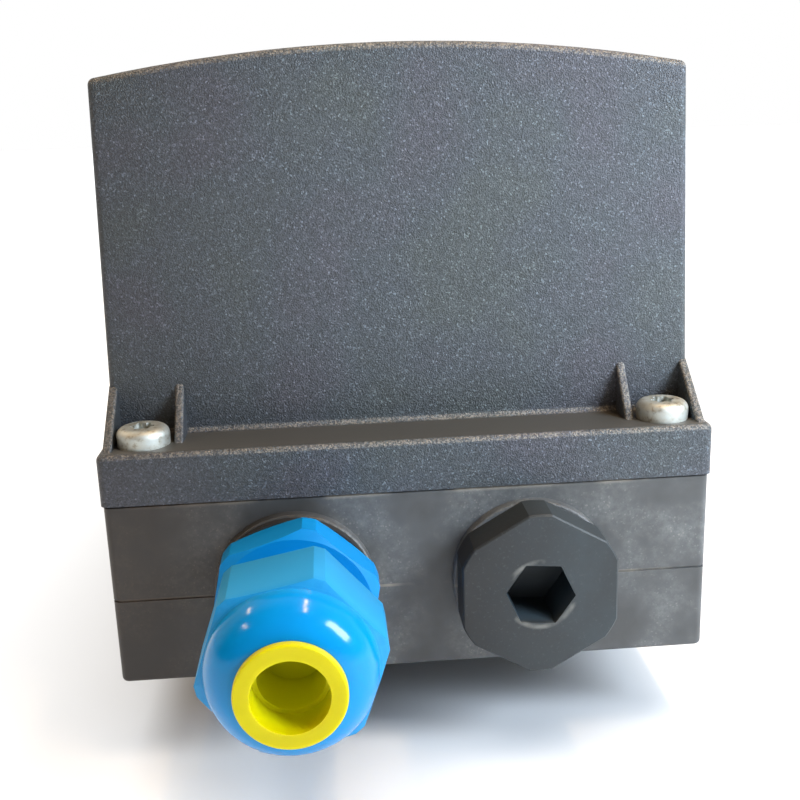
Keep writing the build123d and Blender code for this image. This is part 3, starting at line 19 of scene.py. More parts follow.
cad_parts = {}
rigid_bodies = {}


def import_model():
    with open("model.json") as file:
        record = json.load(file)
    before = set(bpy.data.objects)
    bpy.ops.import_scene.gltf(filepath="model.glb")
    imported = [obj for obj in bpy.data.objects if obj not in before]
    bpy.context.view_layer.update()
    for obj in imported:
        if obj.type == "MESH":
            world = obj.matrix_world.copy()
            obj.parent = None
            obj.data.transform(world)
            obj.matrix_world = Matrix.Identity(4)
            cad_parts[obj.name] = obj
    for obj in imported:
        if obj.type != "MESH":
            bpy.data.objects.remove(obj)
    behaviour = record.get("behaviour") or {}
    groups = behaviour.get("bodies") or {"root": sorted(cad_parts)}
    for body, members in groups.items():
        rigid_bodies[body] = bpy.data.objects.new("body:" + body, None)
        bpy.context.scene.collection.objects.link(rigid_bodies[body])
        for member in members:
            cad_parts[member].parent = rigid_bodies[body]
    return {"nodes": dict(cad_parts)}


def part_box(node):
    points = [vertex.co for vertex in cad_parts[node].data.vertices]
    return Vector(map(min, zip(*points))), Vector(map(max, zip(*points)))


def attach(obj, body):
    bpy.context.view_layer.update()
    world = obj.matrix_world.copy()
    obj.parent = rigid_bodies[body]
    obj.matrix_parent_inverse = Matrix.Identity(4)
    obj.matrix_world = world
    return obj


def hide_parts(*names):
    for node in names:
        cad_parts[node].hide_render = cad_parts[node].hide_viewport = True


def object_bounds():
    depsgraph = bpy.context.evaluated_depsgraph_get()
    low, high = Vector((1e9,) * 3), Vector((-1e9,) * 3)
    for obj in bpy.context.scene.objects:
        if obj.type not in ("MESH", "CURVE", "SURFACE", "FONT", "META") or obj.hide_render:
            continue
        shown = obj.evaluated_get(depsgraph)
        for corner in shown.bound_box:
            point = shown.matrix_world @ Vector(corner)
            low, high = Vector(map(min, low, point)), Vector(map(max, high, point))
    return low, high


for start_up_object in list(bpy.data.objects):
    bpy.data.objects.remove(start_up_object)

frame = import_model()
cad_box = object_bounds()
print("CAD box in mm:", [[round(1000 * v, 1) for v in corner] for corner in cad_box])

# %% [markdown]
# ## The camera
#
# A photograph is matched by finding where its camera stood. That could be tried by eye, but a fit is surer:
# the outline, the parting line, the ledge and the round bosses were measured in the picture, and a camera
# was fitted to them. It stands low in front of the end with the cable entries, a little left of the middle,
# looks down by about fifteen degrees and leans two degrees to one side, as a telephone held in the hand
# does.
#
# Blender's camera looks along its own -Z with +Y up, so its turn is a matrix made of three directions.

# %% Place the camera
MM = 0.001


def stand_camera(name, place, yaw, pitch, roll, lens):
    """A camera at a place in metres, turned by angles in degrees, with its lens in millimetres."""
    yaw, pitch, roll = (math.radians(angle) for angle in (yaw, pitch, roll))
    ahead = Vector((math.sin(yaw) * math.cos(pitch), math.cos(yaw) * math.cos(pitch), -math.sin(pitch)))
    level = Vector((math.cos(yaw), -math.sin(yaw), 0))
    across = math.cos(roll) * level + math.sin(roll) * level.cross(ahead)
    upward = across.cross(ahead)
    turn = Matrix((across, upward, -ahead)).transposed().to_4x4()
    camera = bpy.data.objects.new(name, bpy.data.cameras.new(name))
    camera.data.lens = lens
    camera.data.sensor_width = 36
    camera.data.clip_start = 0.01
    camera.matrix_world = Matrix.Translation(place) @ turn
    bpy.context.scene.collection.objects.link(camera)
    return camera


bench_camera = stand_camera("bench_camera", (-0.0113, -0.2325, 0.0855), 3.73, 14.88, -1.93, 47.07)
bpy.context.scene.camera = bench_camera
print("camera at", [round(v, 4) for v in bench_camera.location], "lens", bench_camera.data.lens)

# %% [markdown]
# ## How light becomes a picture
#
# Blender usually shows a scene through a film-like curve that softens strong colours. The nylon and
# polyethylene here are as saturated as plastics get, and the picture to match was stored in plain sRGB, so
# the plain Standard view is used: a colour that is chosen as sRGB comes out as that colour in full light.

# %% Show colours plainly
bpy.context.scene.view_settings.view_transform = "Standard"
print("view:", bpy.context.scene.view_settings.view_transform)

# %% [markdown]
# ## Floor and light
#
# The positioner stands on the end of its feedback shaft, so the floor lies just under that. A pale matt
# floor takes soft shadows and throws light up under the housing.
#
# Colours are picked as sRGB hex codes, the way a picture shows them, but Blender mixes linear numbers. One
# function turns the first into the second. Another adds a shader node with its settings and links in one
# line, because the same steps would otherwise fill this lesson.

# %% Colours, and a helper for nodes


def hex_colour(code):
    """An sRGB hex colour as the linear numbers that Blender mixes, with alpha 1."""
    parts = [int(code[i:i + 2], 16) / 255 for i in (1, 3, 5)]
    return [p / 12.92 if p <= 0.04045 else ((p + 0.055) / 1.055) ** 2.4 for p in parts] + [1.0]


def add_node(tree, kind, settings=None, links=None):
    """Adds a node. Settings fill its inputs or its own options, and links plug other nodes into its inputs."""
    node = tree.nodes.new(kind)
    for key, value in (settings or {}).items():
        if isinstance(key, int) or key in node.inputs:
            node.inputs[key].default_value = value
        else:
            setattr(node, key, value)
    for key, output in (links or {}).items():
        tree.links.new(output, node.inputs[key])
    return node


print("a mid grey of #808080 is", [round(v, 3) for v in hex_colour("#808080")])

# %% Lay the floor
FLOOR_HALF_WIDTH = 6.5
floor_height = cad_box[0].z - 0.1 * MM     # a hair under the lowest point, so that the faces don't coincide

floor_shape = bmesh.new()
bmesh.ops.create_grid(floor_shape, x_segments=1, y_segments=1, size=FLOOR_HALF_WIDTH)
bmesh.ops.translate(floor_shape, verts=floor_shape.verts, vec=(0, 0, floor_height))
floor_mesh = bpy.data.meshes.new("studio_floor")
floor_shape.to_mesh(floor_mesh)
floor_shape.free()
studio_floor = bpy.data.objects.new("studio_floor", floor_mesh)
bpy.context.scene.collection.objects.link(studio_floor)

floor_paint = bpy.data.materials.new("matt_floor_paint")
floor_paint.use_nodes = True
floor_shader = floor_paint.node_tree.nodes["Principled BSDF"]
floor_shader.inputs["Base Color"].default_value = hex_colour("#c2c5c8")
floor_shader.inputs["Roughness"].default_value = 0.9
floor_mesh.materials.append(floor_paint)
print("floor at", round(floor_height / MM, 2), "mm")

# %% [markdown]
# ## Lamps
#
# The gland's polished dome works like a small mirror and shows where the lamps of the workshop hung: a
# broad cool one to the right like a window, a long warm tube overhead, and two short tubes far to the left.
# One lamp would give one hard shadow and black sides. These four give the soft shading and the four
# highlights of the real dome.
#
# A lamp's long side runs front to back, so that its reflection points at the dome's middle. The large one
# high over the background only lights the floor behind, and it is hidden from reflections.

# %% Hang the lamps


def hang_light(name, place, aim, size, watts, colour, length=None):
    """A soft light at a place, facing a point, both in metres: a square, or a tube where a length is given."""
    lamp = bpy.data.lights.new(name, "AREA")
    lamp.shape = "RECTANGLE"
    lamp.size = size
    lamp.size_y = length or size
    lamp.energy = watts
    lamp.color = hex_colour(colour)[:3]
    light = bpy.data.objects.new(name, lamp)
    back = (Vector(place) - Vector(aim)).normalized()
    lengthwise = (Vector((0, 1, 0)) - back * back.y).normalized()
    turn = Matrix((lengthwise.cross(back), lengthwise, back)).transposed().to_4x4()
    light.matrix_world = Matrix.Translation(place) @ turn
    bpy.context.scene.collection.objects.link(light)
    return light


middle = (0.0, -0.08, 0.045)       # between gland and cover, where the lamps point
hang_light("window_light", (0.195, -0.20, 0.15), middle, 0.13, 1.25, "#e6f2ff", length=0.075)
hang_light("ceiling_lamp", (0.20, -0.03, 0.75), middle, 0.035, 3.6, "#ffd6a0", length=0.56)
hang_light("left_lamp", (-0.515, 0.17, 0.58), middle, 0.035, 0.9, "#ffdcb4", length=0.22)
hang_light("left_front_lamp", (-0.62, -0.27, 0.524), middle, 0.045, 0.8, "#ffdcb4", length=0.20)
background_light = hang_light("background_light", (0.0, 4.0, 2.4), (0.0, 4.0, 0.0), 6.0, 200.0, "#ffffff")
background_light.visible_glossy = False

# %% [markdown]
# ## A light for the floor alone
#
# The lamps that suit the dark plastic leave the floor grey. Stronger lamps would bleach the plastic, and a
# floor that glows would have no shadows. So one very soft sun shines on the floor only: light linking names
# the things that a light may reach. The object still throws its shadow, because linking only limits what is
# lit.

# %% Light the floor
floor_lamp = bpy.data.lights.new("floor_light", "SUN")
floor_lamp.energy = 4.0
floor_lamp.angle = math.radians(60)        # as wide as a bright sky, which makes the shadow's edge very soft
floor_light = bpy.data.objects.new("floor_light", floor_lamp)
bpy.context.scene.collection.objects.link(floor_light)
lit_by_floor_light = bpy.data.collections.new("lit_by_floor_light")
lit_by_floor_light.objects.link(studio_floor)
floor_light.light_linking.receiver_collection = lit_by_floor_light

# %% [markdown]
# ## The room around it
#
# What no lamp reaches is lit by the room. A photograph of a room could be wrapped around the scene, but a
# few rules do as well: the walls are dim and warm to the left and brighter and cooler to the right, the
# ceiling is warm, and the side behind the object is bright. The warm ceiling is why the ledge and the top
# edges of the blue-grey cover look brown. Each rule reads one part of the direction in which a ray leaves
# the scene.
#
# The camera itself sees plain white where there is nothing, so the picture has the clean ground of a
# catalogue.

# %% Paint the room
surround = bpy.context.scene.world or bpy.data.worlds.new("studio_surround")
bpy.context.scene.world = surround
surround.use_nodes = True
room = surround.node_tree
towards = add_node(room, "ShaderNodeSeparateXYZ",
                   links={"Vector": add_node(room, "ShaderNodeTexCoord").outputs["Generated"]})
to_the_right = add_node(room, "ShaderNodeMapRange", {"From Min": -1.0, "To Min": 0.04, "To Max": 0.45},
                        {"Value": towards.outputs["X"]})
overhead = add_node(room, "ShaderNodeMapRange", {"From Min": 0.25, "From Max": 0.9},
                    {"Value": towards.outputs["Z"]})
warm_to_cool = add_node(room, "ShaderNodeMapRange", {"From Min": -1.0, "From Max": 0.3},
                        {"Value": towards.outputs["X"]})
walls = add_node(room, "ShaderNodeMix",
                 {"data_type": "RGBA", 6: hex_colour("#ffc48c"), 7: hex_colour("#eef3f8")},
                 {"Factor": warm_to_cool.outputs["Result"]})
wall_and_ceiling = add_node(room, "ShaderNodeMix", {"data_type": "RGBA", 7: hex_colour("#ffcf90")},
                            {"Factor": overhead.outputs["Result"], 6: walls.outputs[2]})
behind = add_node(room, "ShaderNodeMapRange", {"From Min": -0.05, "From Max": 0.35},
                  {"Value": towards.outputs["Y"]})
all_round = add_node(room, "ShaderNodeMix", {"data_type": "RGBA", 7: hex_colour("#f2f2f0")},
                     {"Factor": behind.outputs["Result"], 6: wall_and_ceiling.outputs[2]})
brightness = add_node(room, "ShaderNodeMix", {"data_type": "FLOAT", 3: 0.8},
                      {0: behind.outputs["Result"], 2: to_the_right.outputs["Result"]})
seen = add_node(room, "ShaderNodeLightPath")
room_light = add_node(room, "ShaderNodeBackground", {"Strength": 1.0},
                      {"Color": all_round.outputs[2], "Strength": brightness.outputs[0]})
white_wall = add_node(room, "ShaderNodeBackground", {"Color": hex_colour("#ffffff"), "Strength": 1.0})
both = add_node(room, "ShaderNodeMixShader", links={0: seen.outputs["Is Camera Ray"],
                                                    1: room_light.outputs["Background"],
                                                    2: white_wall.outputs["Background"]})
room.links.new(both.outputs["Shader"], room.nodes["World Output"].inputs["Surface"])
print("nodes for the room:", len(room.nodes))

# %% [markdown]
# ## How the finishes are made
#
# Each finish starts as one Principled shader with the roughness and IOR of the real material. Its patterns
# read Object coordinates: in this scene those are metres on the object itself, so a pattern of a known size
# in millimetres gets its scale by dividing one by that size, and it stays on the piece when the piece
# moves.
#
# The plain colour and roughness given at the start stay in the shader under the patterns. A program that
# can't read the patterns falls back on them.
#
# Housing and cover share one painted shade: the corner beside the gland is painted darker, standing in for
# the shade that falls there. A second function finds that corner, as a value that fades out to two sides.

# %% Start a finish


def start_finish(name, colour, roughness, **sockets):
    """A material with its shader set from constants, and its node tree, shader and Object coordinates."""
    finish = bpy.data.materials.new(name)
    finish.use_nodes = True
    tree = finish.node_tree
    shader = tree.nodes["Principled BSDF"]
    shader.inputs["Base Color"].default_value = hex_colour(colour)
    shader.inputs["Roughness"].default_value = roughness
    for socket, value in sockets.items():
        shader.inputs[socket.replace("_", " ")].default_value = value
    place = add_node(tree, "ShaderNodeTexCoord").outputs["Object"]
    return finish, tree, shader, place


# Painted shade: the corner beside the gland is darkened in the colour.
def shaded_corner(tree, spot, across, along):
    """One at the corner beside the gland, fading to nothing over a range of X and a range of Y, in metres."""
    beside = add_node(tree, "ShaderNodeMapRange",
                      {"From Min": across[0], "From Max": across[1], "To Min": 1.0, "To Max": 0.0},
                      {"Value": spot.outputs["X"]})
    near_the_end = add_node(tree, "ShaderNodeMapRange",
                            {"From Min": along[0], "From Max": along[1], "To Min": 1.0, "To Max": 0.0},
                            {"Value": spot.outputs["Y"]})
    return add_node(tree, "ShaderNodeMath", {"operation": "MULTIPLY"},
                    {0: beside.outputs["Result"], 1: near_the_end.outputs["Result"]}).outputs["Value"]


finishes = {}
print("inputs of a Principled shader:", len(floor_shader.inputs))

# %% [markdown]
# ## Cover: spark-eroded grain
#
# The cover is moulded in glass-filled polycarbonate in a tool whose walls were spark-eroded. That leaves a
# fine even grain which sparkles where single grains face the light, and it is the first thing the eye sees
# here.
#
# The grain could be modelled as displacement, but at a quarter of a millimetre it would need millions of
# faces. Two patterns do it in the material: cells that give each grain its own tone, with the palest few
# painted glints, and a fine noise as bump. A slow noise shifts the tint a little over the moulding, as no
# large moulding is one colour.

# %% Cover grain
GRAIN = 0.24 * MM      # the real grain is about 0.1 mm, drawn as coarse as it needs to be to show
CLOUD = 22 * MM        # slow, faint change of tint over the moulding

cover_finish, tree, shader, place = start_finish("grained_polycarbonate", "#4a5058", 0.50, IOR=1.57)
grains = add_node(tree, "ShaderNodeTexVoronoi", {"Scale": 1 / GRAIN, "Randomness": 1.0}, {"Vector": place})
grain_tone = add_node(tree, "ShaderNodeSeparateColor", links={"Color": grains.outputs["Color"]})
# Painted glints: the top of the ramp lifts the palest grain cells to a light grey, beside the grain's own tone.
grain_and_glint_ramp = add_node(tree, "ShaderNodeValToRGB", links={"Fac": grain_tone.outputs["Red"]})
grain_and_glint_ramp.color_ramp.elements[0].color = hex_colour("#2f343a")
grain_and_glint_ramp.color_ramp.elements[1].color = hex_colour("#727b84")
grain_and_glint_ramp.color_ramp.elements.new(0.55).color = hex_colour("#40464c")
grain_and_glint_ramp.color_ramp.elements.new(0.93).color = hex_colour("#50575e")
clouds = add_node(tree, "ShaderNodeTexNoise", {"Scale": 1 / CLOUD, "Detail": 3.0}, {"Vector": place})
cloud_tint = add_node(tree, "ShaderNodeValToRGB", links={"Fac": clouds.outputs["Fac"]})
cloud_tint.color_ramp.elements[0].position = 0.36
cloud_tint.color_ramp.elements[0].color = hex_colour("#e9e2ec")
cloud_tint.color_ramp.elements[1].position = 0.64
cloud_tint.color_ramp.elements[1].color = hex_colour("#e2ebe2")
cloud_tint.color_ramp.elements.new(0.50).color = hex_colour("#e0e8ec")
tinted = add_node(tree, "ShaderNodeMix", {"data_type": "RGBA", "blend_type": "MULTIPLY", "Factor": 1.0},
                  {6: grain_and_glint_ramp.outputs["Color"], 7: cloud_tint.outputs["Color"]})
print("grain cells to a millimetre:", round(MM / GRAIN, 1))

# %% [markdown]
# ## Cover: painted sheen on edges, and the smooth ledge
#
# Where the moulding is rounded and turns upward, the tips of the grain catch the warm light from above. That
# sheen is painted into the colour as a brownish grey. The ledge lies in a smooth part of the tool and has
# hardly any grain. Both could be painted on by hand. Here they are found from the way a point faces, which
# the Normal output gives in the object's own directions, so they follow every edge of the moulding.

# %% Cover edge sheen
LEDGE_TOP = 39 * MM                        # the ledge lies below this height, the hood's top above it
GRAIN_DEPTH = 0.20 * MM
COVER_SHADE_ACROSS = (-46 * MM, -10 * MM)
COVER_SHADE_ALONG = (-66 * MM, -45 * MM)
BLACK, WHITE = (0, 0, 0, 1), (1, 1, 1, 1)
SHEEN_ON_TOP = (0.15, 0.15, 0.15, 1)             # flat tops get a little painted sheen, round edges the most

fine = add_node(tree, "ShaderNodeTexNoise", {"Scale": 1 / GRAIN, "Detail": 2.0}, {"Vector": place})
facing = add_node(tree, "ShaderNodeSeparateXYZ", links={"Vector": place.node.outputs["Normal"]})
level = add_node(tree, "ShaderNodeSeparateXYZ", links={"Vector": place})
upward_edge_sheen = add_node(tree, "ShaderNodeValToRGB", links={"Fac": facing.outputs["Z"]})
upward_edge_sheen.color_ramp.elements[0].position = 0.12
upward_edge_sheen.color_ramp.elements[0].color = BLACK
upward_edge_sheen.color_ramp.elements[1].position = 0.97
upward_edge_sheen.color_ramp.elements[1].color = SHEEN_ON_TOP
upward_edge_sheen.color_ramp.elements.new(0.34).color = WHITE
upward_edge_sheen.color_ramp.elements.new(0.84).color = WHITE
tips = add_node(tree, "ShaderNodeMapRange",
                {"From Min": 0.35, "From Max": 0.95, "To Min": 0.08, "To Max": 0.85},
                {"Value": grain_tone.outputs["Green"]})
sheen_on_tips = add_node(tree, "ShaderNodeMath", {"operation": "MULTIPLY"},
                     {0: upward_edge_sheen.outputs["Color"], 1: tips.outputs["Result"]})
# Painted sheen: the grain's tips on upward-turning edges are mixed to a warm brownish grey.
wear_and_sheen = add_node(tree, "ShaderNodeMix", {"data_type": "RGBA", 7: hex_colour("#8a857c")},
                  {"Factor": sheen_on_tips.outputs["Value"], 6: tinted.outputs[2]})
# Painted shade: the cover's corner beside the gland is darkened a little.
corner_shade = add_node(tree, "ShaderNodeMix",
                  {"data_type": "RGBA", "blend_type": "MULTIPLY", 7: hex_colour("#c6c3c3")},
                  {"Factor": shaded_corner(tree, level, COVER_SHADE_ACROSS, COVER_SHADE_ALONG),
                   6: wear_and_sheen.outputs[2]})
below_hood = add_node(tree, "ShaderNodeMath", {"operation": "LESS_THAN", 1: LEDGE_TOP},
                      {0: level.outputs["Z"]})
facing_up = add_node(tree, "ShaderNodeMapRange", {"From Min": 0.95, "From Max": 0.99},
                     {"Value": facing.outputs["Z"]})
ledge_share = add_node(tree, "ShaderNodeMath", {"operation": "MULTIPLY"},
                       {0: below_hood.outputs["Value"], 1: facing_up.outputs["Result"]})
with_ledge = add_node(tree, "ShaderNodeMix", {"data_type": "RGBA", 7: hex_colour("#434340")},
                      {"Factor": ledge_share.outputs["Value"], 6: corner_shade.outputs[2]})
grain_strength = add_node(tree, "ShaderNodeMapRange", {"To Min": 1.0, "To Max": 0.12},
                          {"Value": ledge_share.outputs["Value"]})
relief = add_node(tree, "ShaderNodeBump", {"Distance": GRAIN_DEPTH},
                  {"Height": fine.outputs["Fac"], "Strength": grain_strength.outputs["Result"]})
tree.links.new(with_ledge.outputs[2], shader.inputs["Base Color"])
tree.links.new(relief.outputs["Normal"], shader.inputs["Normal"])
finishes["cover_plastic"] = cover_finish
print("nodes in the cover's finish:", len(tree.nodes))

# %% [markdown]
# ## Base: the same plastic from a smoother tool
#
# The base is screwed to machines, carried in boxes and wiped with gloves, so its smoother skin shows what
# has touched it: pale rubbed patches made of fine scuffs, and white specks of dust. One slow noise says
# where it was rubbed, and the finer marks only show there, since on a real piece they come together. A
# single noise for each would spread them evenly, which looks like stone.

# %% Rubbed skin of the base
RUB = 11 * MM          # size of the rubbed patches
SCUFF = 1.1 * MM       # the grain of a rubbed patch
SPECK = 0.22 * MM      # dust and small nicks

base_finish, tree, shader, place = start_finish("smooth_glass_filled_plastic", "#4b4c4e", 0.46, IOR=1.57,
                                                Specular_IOR_Level=0.38)
rubs = add_node(tree, "ShaderNodeTexNoise", {"Scale": 1 / RUB, "Detail": 3.0, "Roughness": 0.55},
                {"Vector": place})
scuffs = add_node(tree, "ShaderNodeTexNoise", {"Scale": 1 / SCUFF, "Detail": 6.0, "Roughness": 0.72},
                  {"Vector": place})
patches = add_node(tree, "ShaderNodeMapRange", {"From Min": 0.34, "From Max": 0.66},
                   {"Value": rubs.outputs["Fac"]})
patch_tone = add_node(tree, "ShaderNodeMix",
                      {"data_type": "RGBA", 6: hex_colour("#424445"), 7: hex_colour("#585b5d")},
                      {"Factor": patches.outputs["Result"]})
wear_and_sheen = add_node(tree, "ShaderNodeMapRange", {"From Min": 0.44, "From Max": 0.66},
                  {"Value": rubs.outputs["Fac"]})
scuff_mask = add_node(tree, "ShaderNodeMapRange", {"From Min": 0.42, "From Max": 0.74, "To Max": 0.5},
                      {"Value": scuffs.outputs["Fac"]})
scuff_share = add_node(tree, "ShaderNodeMath", {"operation": "MULTIPLY"},
                       {0: wear_and_sheen.outputs["Result"], 1: scuff_mask.outputs["Result"]})
scuffed = add_node(tree, "ShaderNodeMix", {"data_type": "RGBA", 7: hex_colour("#878a87")},
                   {"Factor": scuff_share.outputs["Value"], 6: patch_tone.outputs[2]})
specks = add_node(tree, "ShaderNodeTexVoronoi", {"Scale": 1 / SPECK, "Randomness": 1.0}, {"Vector": place})
speck_tone = add_node(tree, "ShaderNodeSeparateColor", links={"Color": specks.outputs["Color"]})
dusty = add_node(tree, "ShaderNodeMapRange",
                 {"From Min": 0.46, "From Max": 0.72, "To Min": 0.02, "To Max": 0.75},
                 {"Value": rubs.outputs["Fac"]})
speck_mask = add_node(tree, "ShaderNodeMapRange", {"From Min": 0.93, "From Max": 1.0},
                      {"Value": speck_tone.outputs["Green"], "To Max": dusty.outputs["Result"]})
dusted = add_node(tree, "ShaderNodeMix", {"data_type": "RGBA", 7: hex_colour("#8b8a86")},
                  {"Factor": speck_mask.outputs["Result"], 6: scuffed.outputs[2]})
print("cells of", round(SPECK / MM, 2), "mm, of which at most one in fourteen shows as a speck")

# %% [markdown]
# ## Base: painted highlights on two lines, and painted shade in the corner
#
# Two lines run round the base at fixed heights: the one where the halves of the mould met, and the edge
# under the cover. Both stand out a little and catch the light, so a pale painted highlight is laid along
# each, shown only where the skin around them is rubbed. The corner beside the gland gets painted shade. A
# line at a fixed height needs no picture: its distance is worked out from Z.

# %% Lines and corner of the base
SKIN = 0.5 * MM                            # the faint unevenness of the smooth skin
SKIN_DEPTH = 0.04 * MM
MOULD_LINE = 14.2 * MM                     # height of the line where the mould halves met
FLASH_WIDTH = (0.16 * MM, 0.30 * MM)       # the painted highlight on this line fades out between these distances
RIM_HEIGHT = (29.15 * MM, 29.7 * MM)       # the painted highlight on the edge under the cover fades in between these
BASE_SHADE_ACROSS = (-40 * MM, -8 * MM)
BASE_SHADE_ALONG = (-74 * MM, -55 * MM)

height = add_node(tree, "ShaderNodeSeparateXYZ", links={"Vector": place})
off_the_line = add_node(tree, "ShaderNodeMath", {"operation": "SUBTRACT", 1: MOULD_LINE},
                        {0: height.outputs["Z"]})
line_distance = add_node(tree, "ShaderNodeMath", {"operation": "ABSOLUTE"}, {0: off_the_line.outputs["Value"]})
# Painted highlight: a pale line along the mould line and another along the edge under the cover.
flash = add_node(tree, "ShaderNodeMapRange",
                 {"From Min": FLASH_WIDTH[0], "From Max": FLASH_WIDTH[1], "To Min": 0.8, "To Max": 0.0},
                 {"Value": line_distance.outputs["Value"]})
flash_share = add_node(tree, "ShaderNodeMath", {"operation": "MULTIPLY"},
                       {0: flash.outputs["Result"], 1: wear_and_sheen.outputs["Result"]})
rim = add_node(tree, "ShaderNodeMapRange", {"From Min": RIM_HEIGHT[0], "From Max": RIM_HEIGHT[1]},
               {"Value": height.outputs["Z"]})
rim_share = add_node(tree, "ShaderNodeMath", {"operation": "MULTIPLY"},
                     {0: rim.outputs["Result"], 1: wear_and_sheen.outputs["Result"]})
line_highlight_share = add_node(tree, "ShaderNodeMath", {"operation": "MAXIMUM"},
                      {0: flash_share.outputs["Value"], 1: rim_share.outputs["Value"]})
# Painted highlight: the two lines are mixed to a pale beige inside the rubbed patches.
line_highlights = add_node(tree, "ShaderNodeMix", {"data_type": "RGBA", 7: hex_colour("#9a9284")},
                {"Factor": line_highlight_share.outputs["Value"], 6: dusted.outputs[2]})
# Painted shade: the corner beside the gland is darkened to a warm brown, standing in for the gland's shadow.
corner_shade = add_node(tree, "ShaderNodeMix",
                  {"data_type": "RGBA", "blend_type": "MULTIPLY", 7: hex_colour("#887566")},
                  {"Factor": shaded_corner(tree, height, BASE_SHADE_ACROSS, BASE_SHADE_ALONG),
                   6: line_highlights.outputs[2]})
skin = add_node(tree, "ShaderNodeTexNoise", {"Scale": 1 / SKIN, "Detail": 3.0}, {"Vector": place})
relief = add_node(tree, "ShaderNodeBump", {"Strength": 0.25, "Distance": SKIN_DEPTH},
                  {"Height": skin.outputs["Fac"]})
gloss = add_node(tree, "ShaderNodeMapRange", {"To Min": 0.36, "To Max": 0.58}, {"Value": rubs.outputs["Fac"]})
tree.links.new(corner_shade.outputs[2], shader.inputs["Base Color"])
tree.links.new(gloss.outputs["Result"], shader.inputs["Roughness"])
tree.links.new(relief.outputs["Normal"], shader.inputs["Normal"])
finishes["base_plastic"] = base_finish
print("nodes in the base's finish:", len(tree.nodes))

# %% [markdown]
# ## Cable gland: blue nylon
#
# A gland for an intrinsically safe circuit is light blue. It is moulded in nylon, which is a little
# translucent under its surface, and its dome is polished in the tool while the flats for the spanner are
# matt. The matt sheen of the flats is painted in as a paler tone. One material does both: tone and
# roughness are read from how far along the gland's axis a point lies.

# %% Gland finish
NUT_FOOT = -93.9 * MM      # where the nut starts, in front of the gland's body
DOME_FOOT = -105.4 * MM    # where the nut's flats end and its polished dome starts
POLISHED = (DOME_FOOT + 0.8 * MM, DOME_FOOT - 0.6 * MM)      # from matt to polished between these
DOME_TONE = (DOME_FOOT - 1.6 * MM, DOME_FOOT + 1.6 * MM)     # from the dome's tone to the flats' paler painted sheen
HANDLED = 5 * MM           # size of the patches where fingers changed the tone a little
FLOW = 0.8 * MM            # the nylon's faint flow marks
FLOW_DEPTH = 0.03 * MM

gland_finish, tree, shader, place = start_finish(
    "blue_nylon", "#0a8fe0", 0.30, IOR=1.53, Specular_IOR_Level=0.22, Subsurface_Weight=0.06,
    Subsurface_Scale=0.8 * MM)
shader.inputs["Subsurface Radius"].default_value = (0.6, 0.8, 1.0)
along = add_node(tree, "ShaderNodeSeparateXYZ", links={"Vector": place})
polish = add_node(tree, "ShaderNodeMapRange",
                  {"From Min": POLISHED[0], "From Max": POLISHED[1], "To Min": 0.42, "To Max": 0.14},
                  {"Value": along.outputs["Y"]})
handled = add_node(tree, "ShaderNodeTexNoise", {"Scale": 1 / HANDLED, "Detail": 4.0}, {"Vector": place})
dome_tone = add_node(tree, "ShaderNodeMix",
                     {"data_type": "RGBA", 6: hex_colour("#007cc0"), 7: hex_colour("#0086ca")},
                     {"Factor": handled.outputs["Fac"]})
before_the_dome = add_node(tree, "ShaderNodeMapRange", {"From Min": DOME_TONE[0], "From Max": DOME_TONE[1]},
                           {"Value": along.outputs["Y"]})
on_the_nut = add_node(tree, "ShaderNodeMath", {"operation": "LESS_THAN", 1: NUT_FOOT}, {0: along.outputs["Y"]})
flat_sheen_share = add_node(tree, "ShaderNodeMath", {"operation": "MULTIPLY"},
                      {0: before_the_dome.outputs["Result"], 1: on_the_nut.outputs["Value"]})
# Painted sheen: the nut's flats are mixed to a paler blue.
tone_with_flat_sheen = add_node(tree, "ShaderNodeMix", {"data_type": "RGBA", 7: hex_colour("#2a8dc2")},
                      {"Factor": flat_sheen_share.outputs["Value"], 6: dome_tone.outputs[2]})
flow = add_node(tree, "ShaderNodeTexNoise", {"Scale": 1 / FLOW, "Detail": 2.0}, {"Vector": place})
relief = add_node(tree, "ShaderNodeBump", {"Strength": 0.12, "Distance": FLOW_DEPTH},
                  {"Height": flow.outputs["Fac"]})
tree.links.new(tone_with_flat_sheen.outputs[2], shader.inputs["Base Color"])
tree.links.new(polish.outputs["Result"], shader.inputs["Roughness"])
tree.links.new(relief.outputs["Normal"], shader.inputs["Normal"])
finishes["gland_blue"] = gland_finish
print("dome starts", round(-DOME_FOOT / MM, 1), "mm in front of the origin")

# %% [markdown]
# ## Dust plug: yellow polyethylene
#
# The plug that keeps the gland clean until a cable comes is soft polyethylene, waxy and slightly
# see-through. Light that goes in comes out again a millimetre or two away, which is why the inside of the
# cup glows. Subsurface scattering does this; a plain yellow would look like painted metal. Deep in the cup
# some of the light has come through the blue nylon around it, so the yellow turns a little greener there.

# %% Dust plug finish
CUP_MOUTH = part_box("dust_plug")[0].y                       # the rim of the cup, read from the measured frame
CUP_DEEP = (CUP_MOUTH + 1.0 * MM, CUP_MOUTH + 5.0 * MM)    # the yellow turns greener between these
WAX = 3 * MM                                               # size of the waxy patches

